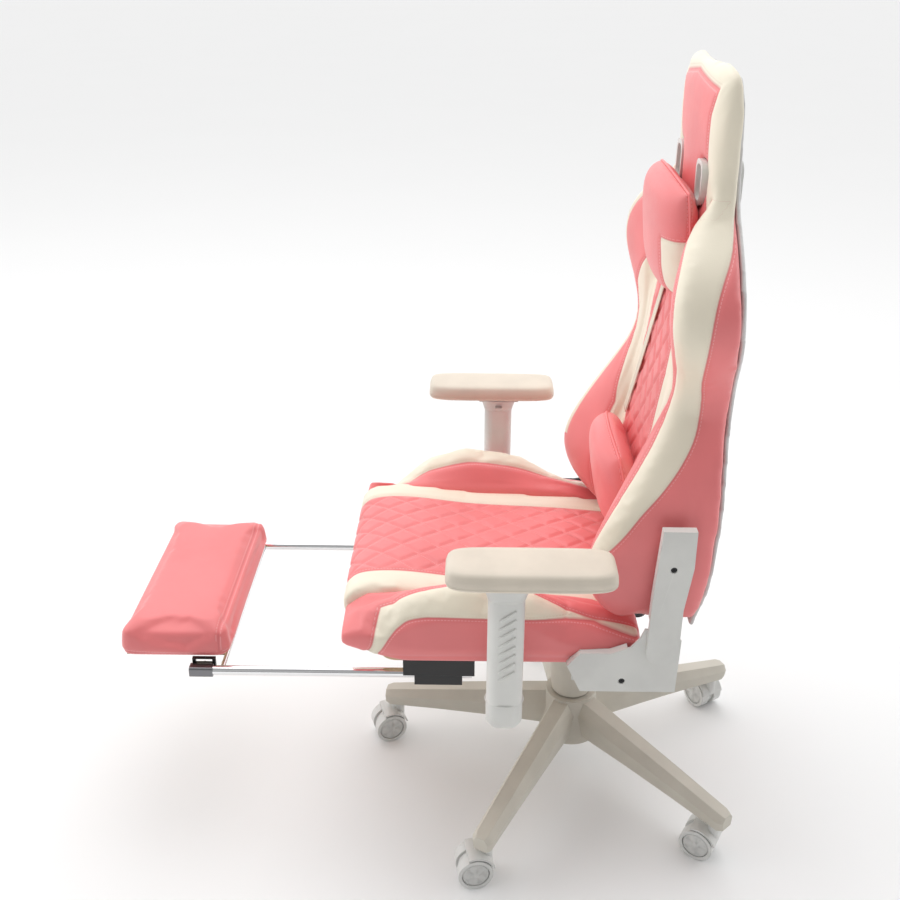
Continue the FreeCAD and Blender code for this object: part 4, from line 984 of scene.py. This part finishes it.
def build_arm_trim(name, side):
    """Flared collar under the pad, the grip ribs on the sleeve and the lip of the foot cap."""
    low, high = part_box("arm_sleeve_" + name)
    centre = (low + high) / 2
    half_x, half_y = (high.x - low.x) / 2, (high.y - low.y) / 2
    under_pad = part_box("arm_pad_" + name)[0].z - 0.001
    rings = []
    for z, grow in ((high.z - 0.0005, 0.0002), (high.z + 0.006, 0.0016), (high.z + 0.014, 0.0040),
                    (high.z + 0.021, 0.0072), (under_pad, 0.0100)):
        ring = superellipse(half_x + grow, half_y + grow * 1.2, 2.6, 48)
        rings.append([Vector((centre.x + x, centre.y + y, z)) for x, y in ring])
    collar = loft("arm_collar_" + name, rings, SHELL, capped=False)
    thick = collar.modifiers.new("thick", "SOLIDIFY")
    thick.thickness = 0.0012
    thick.offset = 1
    apply_modifiers(collar)
    belongs(collar, "arm_" + name, "white_plastic")
    for number in range(RIB_COUNT):
        z = high.z - 0.022 - number * RIB_PITCH
        rib = []
        for t in np.linspace(-1, 1, 9):
            bend = 0.0012 * (1 - t * t)
            face = (high.x - 0.0004 + bend) if side > 0 else (low.x + 0.0004 - bend)
            rib.append(Vector((face, centre.y + 0.002 + t * 0.0115, z + t * 0.0085)))
        piece = tube("sleeve_rib_%s_%d" % (name, number + 1), rib, 0.0022, SHELL)
        belongs(piece, "seat", "white_plastic")
    lip = [Vector((centre.x + x, centre.y + y, low.z - 0.0006))
           for x, y in superellipse(half_x + 0.0012, half_y + 0.0012, 2.0, 48)]
    belongs(tube("foot_cap_lip_" + name, lip, 0.0016, SHELL, True), "seat", "white_plastic")


# ---- Casters ----

WHEEL_FACE_RADIUS = 0.0226
WHEEL_FACE_OFFSET = 0.0245       # face from the middle of the axle
WHEEL_FACE_LOBES = 5
WHEEL_FACE_PROFILE = ((1.0, -0.0038), (0.97, -0.0012), (0.86, -0.0006), (0.80, -0.0030),
                      (0.30, -0.0030), (0.24, 0.0000), (0.12, 0.0008), (0.02, 0.0009))


def build_wheel_faces(index):
    """Five-lobed raised face in the recess of both wheels of a caster."""
    joint = JOINTS["caster_roll_%d" % index]
    axis = Vector(joint["axis"]).normalized()
    centre = Vector(joint["pos_m"])
    up = Vector((0, 0, 1))
    across = axis.cross(up)
    for side, sign in (("a", 1), ("b", -1)):
        outer = centre + axis * sign * WHEEL_FACE_OFFSET
        rings = []
        for share, lift in WHEEL_FACE_PROFILE:
            ring = []
            for step in range(80):
                angle = 2 * math.pi * step / 80
                lobe = 0.5 + 0.5 * math.cos(WHEEL_FACE_LOBES * angle)
                rise = 0.0026 * lobe ** 0.6 if 0.25 < share < 0.82 else 0.0
                spot = WHEEL_FACE_RADIUS * share
                place = outer + (across * math.cos(angle) + up * math.sin(angle)) * spot
                ring.append(place + axis * sign * (lift + rise))
            rings.append(ring if sign > 0 else ring[::-1])
        piece = loft("caster_face_%d_%s" % (index, side), rings, CASTER_PLASTIC)
        belongs(piece, "caster_wheels_%d" % index, "caster_plastic")


# ---- Hard parts ----

def body_of_node(node):
    return frame["nodes"][node]["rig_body"]


def build_hard_parts():
    soften = [("star_base", BASE_PLASTIC, 0.0035, "base_plastic"),
              ("dust_cover_upper", BASE_PLASTIC, 0.001, "base_plastic"),
              ("tilt_housing", WHITE_STEEL, 0.003, "white_steel"),
              ("tension_knob", BASE_PLASTIC, 0.0015, "base_plastic"),
              ("seat_plate", BLACK_STEEL, 0.0008, "black_steel"),
              ("footrest_guides", BLACK_PLASTIC, 0.0016, "black_plastic"),
              ("footrest_brackets", BLACK_PLASTIC, 0.0008, "black_plastic"),
              ("height_lever", BLACK_PLASTIC, 0.001, "black_plastic"),
              ("recline_lever", BLACK_PLASTIC, 0.0012, "black_plastic")]
    for index in range(1, 6):
        soften.append(("caster_hood_%d" % index, CASTER_PLASTIC, 0.0009, "caster_plastic"))
    for name, _ in SIDES:
        soften += [("hinge_cover_lower_" + name, SHELL, 0.0050, "white_plastic"),
                   ("hinge_cover_upper_" + name, SHELL, 0.0038, "white_plastic"),
                   ("arm_bracket_" + name, WHITE_STEEL, 0.001, "white_steel"),
                   ("arm_foot_cap_" + name, SHELL, 0.0015, "white_plastic"),
                   ("arm_lever_" + name, SHELL, 0.001, "white_plastic")]
    for node, material, width, slot in soften:
        bevelled([node], node + "_body", material, width, body_of_node(node), slot)

    keep = {"gas_cylinder": BLACK_STEEL, "gas_piston": GROUND_STEEL, "dust_cover_lower": BASE_PLASTIC,
            "tilt_pin": GROUND_STEEL, "seat_board": PLYWOOD, "seat_bolts": BLACK_STEEL,
            "hinge_pins": BLACK_STEEL, "cover_screws_upper": BLACK_STEEL, "back_frame": BLACK_STEEL,
            "belt_hole_bezels": SHELL, "footrest_tubes": CHROME, "footrest_tip_caps": TIP_METAL,
            "footrest_board": PLYWOOD}
    for name, _ in SIDES:
        keep["arm_sleeve_" + name] = SHELL
        keep["arm_column_" + name] = SHELL
        keep["hinge_plate_lower_" + name] = WHITE_STEEL
        keep["hinge_plate_upper_" + name] = WHITE_STEEL
    for index in range(1, 6):
        keep["caster_wheels_%d" % index] = CASTER_PLASTIC
    for node, material in keep.items():
        mesh = frame["nodes"][node].data
        mesh.materials.clear()
        mesh.materials.append(material)


# ---- Floor, light and camera ----

CAMERA_PLACE = (1646.3, -192.4, 1472.8)
CAMERA_TURN = (22.58, -0.24, 0.53)     # pitch down, yaw and roll, degrees
CAMERA_LENS = 43.2
CAMERA_SHIFT = (-0.0191, -0.0826)
WORLD_DIM = 0.26                 # studio light from the near side and from the far side
WORLD_BRIGHT = 1.30
LAMPS = (("key", (-0.4, -3.6, 3.0), 2.4, 26), ("top", (-0.8, -0.2, 3.8), 2.6, 30),
         ("fill", (3.6, -1.6, 2.2), 2.6, 5), ("rear", (-1.0, 3.6, 2.4), 2.0, 6))


def build_stage():
    floor = mesh_from("floor", [(-40, -40, 0), (12, -40, 0), (12, 40, 0), (-40, 40, 0)], [[0, 1, 2, 3]],
                      FLOOR, False)
    bpy.context.scene.view_settings.view_transform = "Standard"
    world = bpy.data.worlds.new("studio")
    bpy.context.scene.world = world
    world.use_nodes = True
    tree = world.node_tree
    toward = tree.nodes.new("ShaderNodeTexCoord")
    split = tree.nodes.new("ShaderNodeSeparateXYZ")
    shade = tree.nodes.new("ShaderNodeMapRange")
    shade.interpolation_type = "SMOOTHSTEP"
    for index, number in ((1, 0.75), (2, -0.15), (3, WORLD_DIM), (4, WORLD_BRIGHT)):
        shade.inputs[index].default_value = number
    tree.links.new(toward.outputs["Generated"], split.inputs[0])
    tree.links.new(split.outputs["X"], shade.inputs[0])
    tree.nodes["Background"].inputs["Color"].default_value = (1.0, 1.0, 1.0, 1.0)
    tree.links.new(shade.outputs[0], tree.nodes["Background"].inputs["Strength"])
    middle = Vector((0, 0, 0.65))
    for name, place, size, power in LAMPS:
        lamp = bpy.data.lights.new(name, "AREA")
        lamp.energy = power
        lamp.size = size
        item = bpy.data.objects.new(name, lamp)
        item.location = place
        item.rotation_euler = (middle - Vector(place)).to_track_quat("-Z", "Y").to_euler()
        bpy.context.scene.collection.objects.link(item)


def build_camera():
    """Camera solved from the level base, the paired armrests and the footrest tubes."""
    pitch, yaw, roll = (math.radians(degrees) for degrees in CAMERA_TURN)
    forward = Vector((-math.cos(yaw) * math.cos(pitch), math.sin(yaw) * math.cos(pitch), -math.sin(pitch)))
    right = forward.cross(Vector((0, 0, 1))).normalized()
    up = right.cross(forward)
    tilted_right = right * math.cos(roll) + up * math.sin(roll)
    tilted_up = up * math.cos(roll) - right * math.sin(roll)
    data = bpy.data.cameras.new("camera")
    data.sensor_width = 36.0
    data.lens = CAMERA_LENS
    data.shift_x, data.shift_y = CAMERA_SHIFT
    item = bpy.data.objects.new("camera", data)
    turn = np.array([tilted_right, tilted_up, -forward]).T
    place = at(*CAMERA_PLACE)
    matrix = [[*turn[row], place[row]] for row in range(3)] + [[0, 0, 0, 1]]
    item.matrix_world = Matrix(matrix)
    bpy.context.scene.collection.objects.link(item)
    bpy.context.scene.camera = item


build_camera()
build_stage()
build_hard_parts()
for side_name, side_sign in SIDES:
    build_arm_pad(side_name)
    build_arm_trim(side_name, side_sign)
    build_bolster(side_name)
for number in range(1, 6):
    build_wheel_faces(number)
build_seat_centre()
build_foot_pad()
build_pillows()
build_back_cover()
build_strap(build_back())
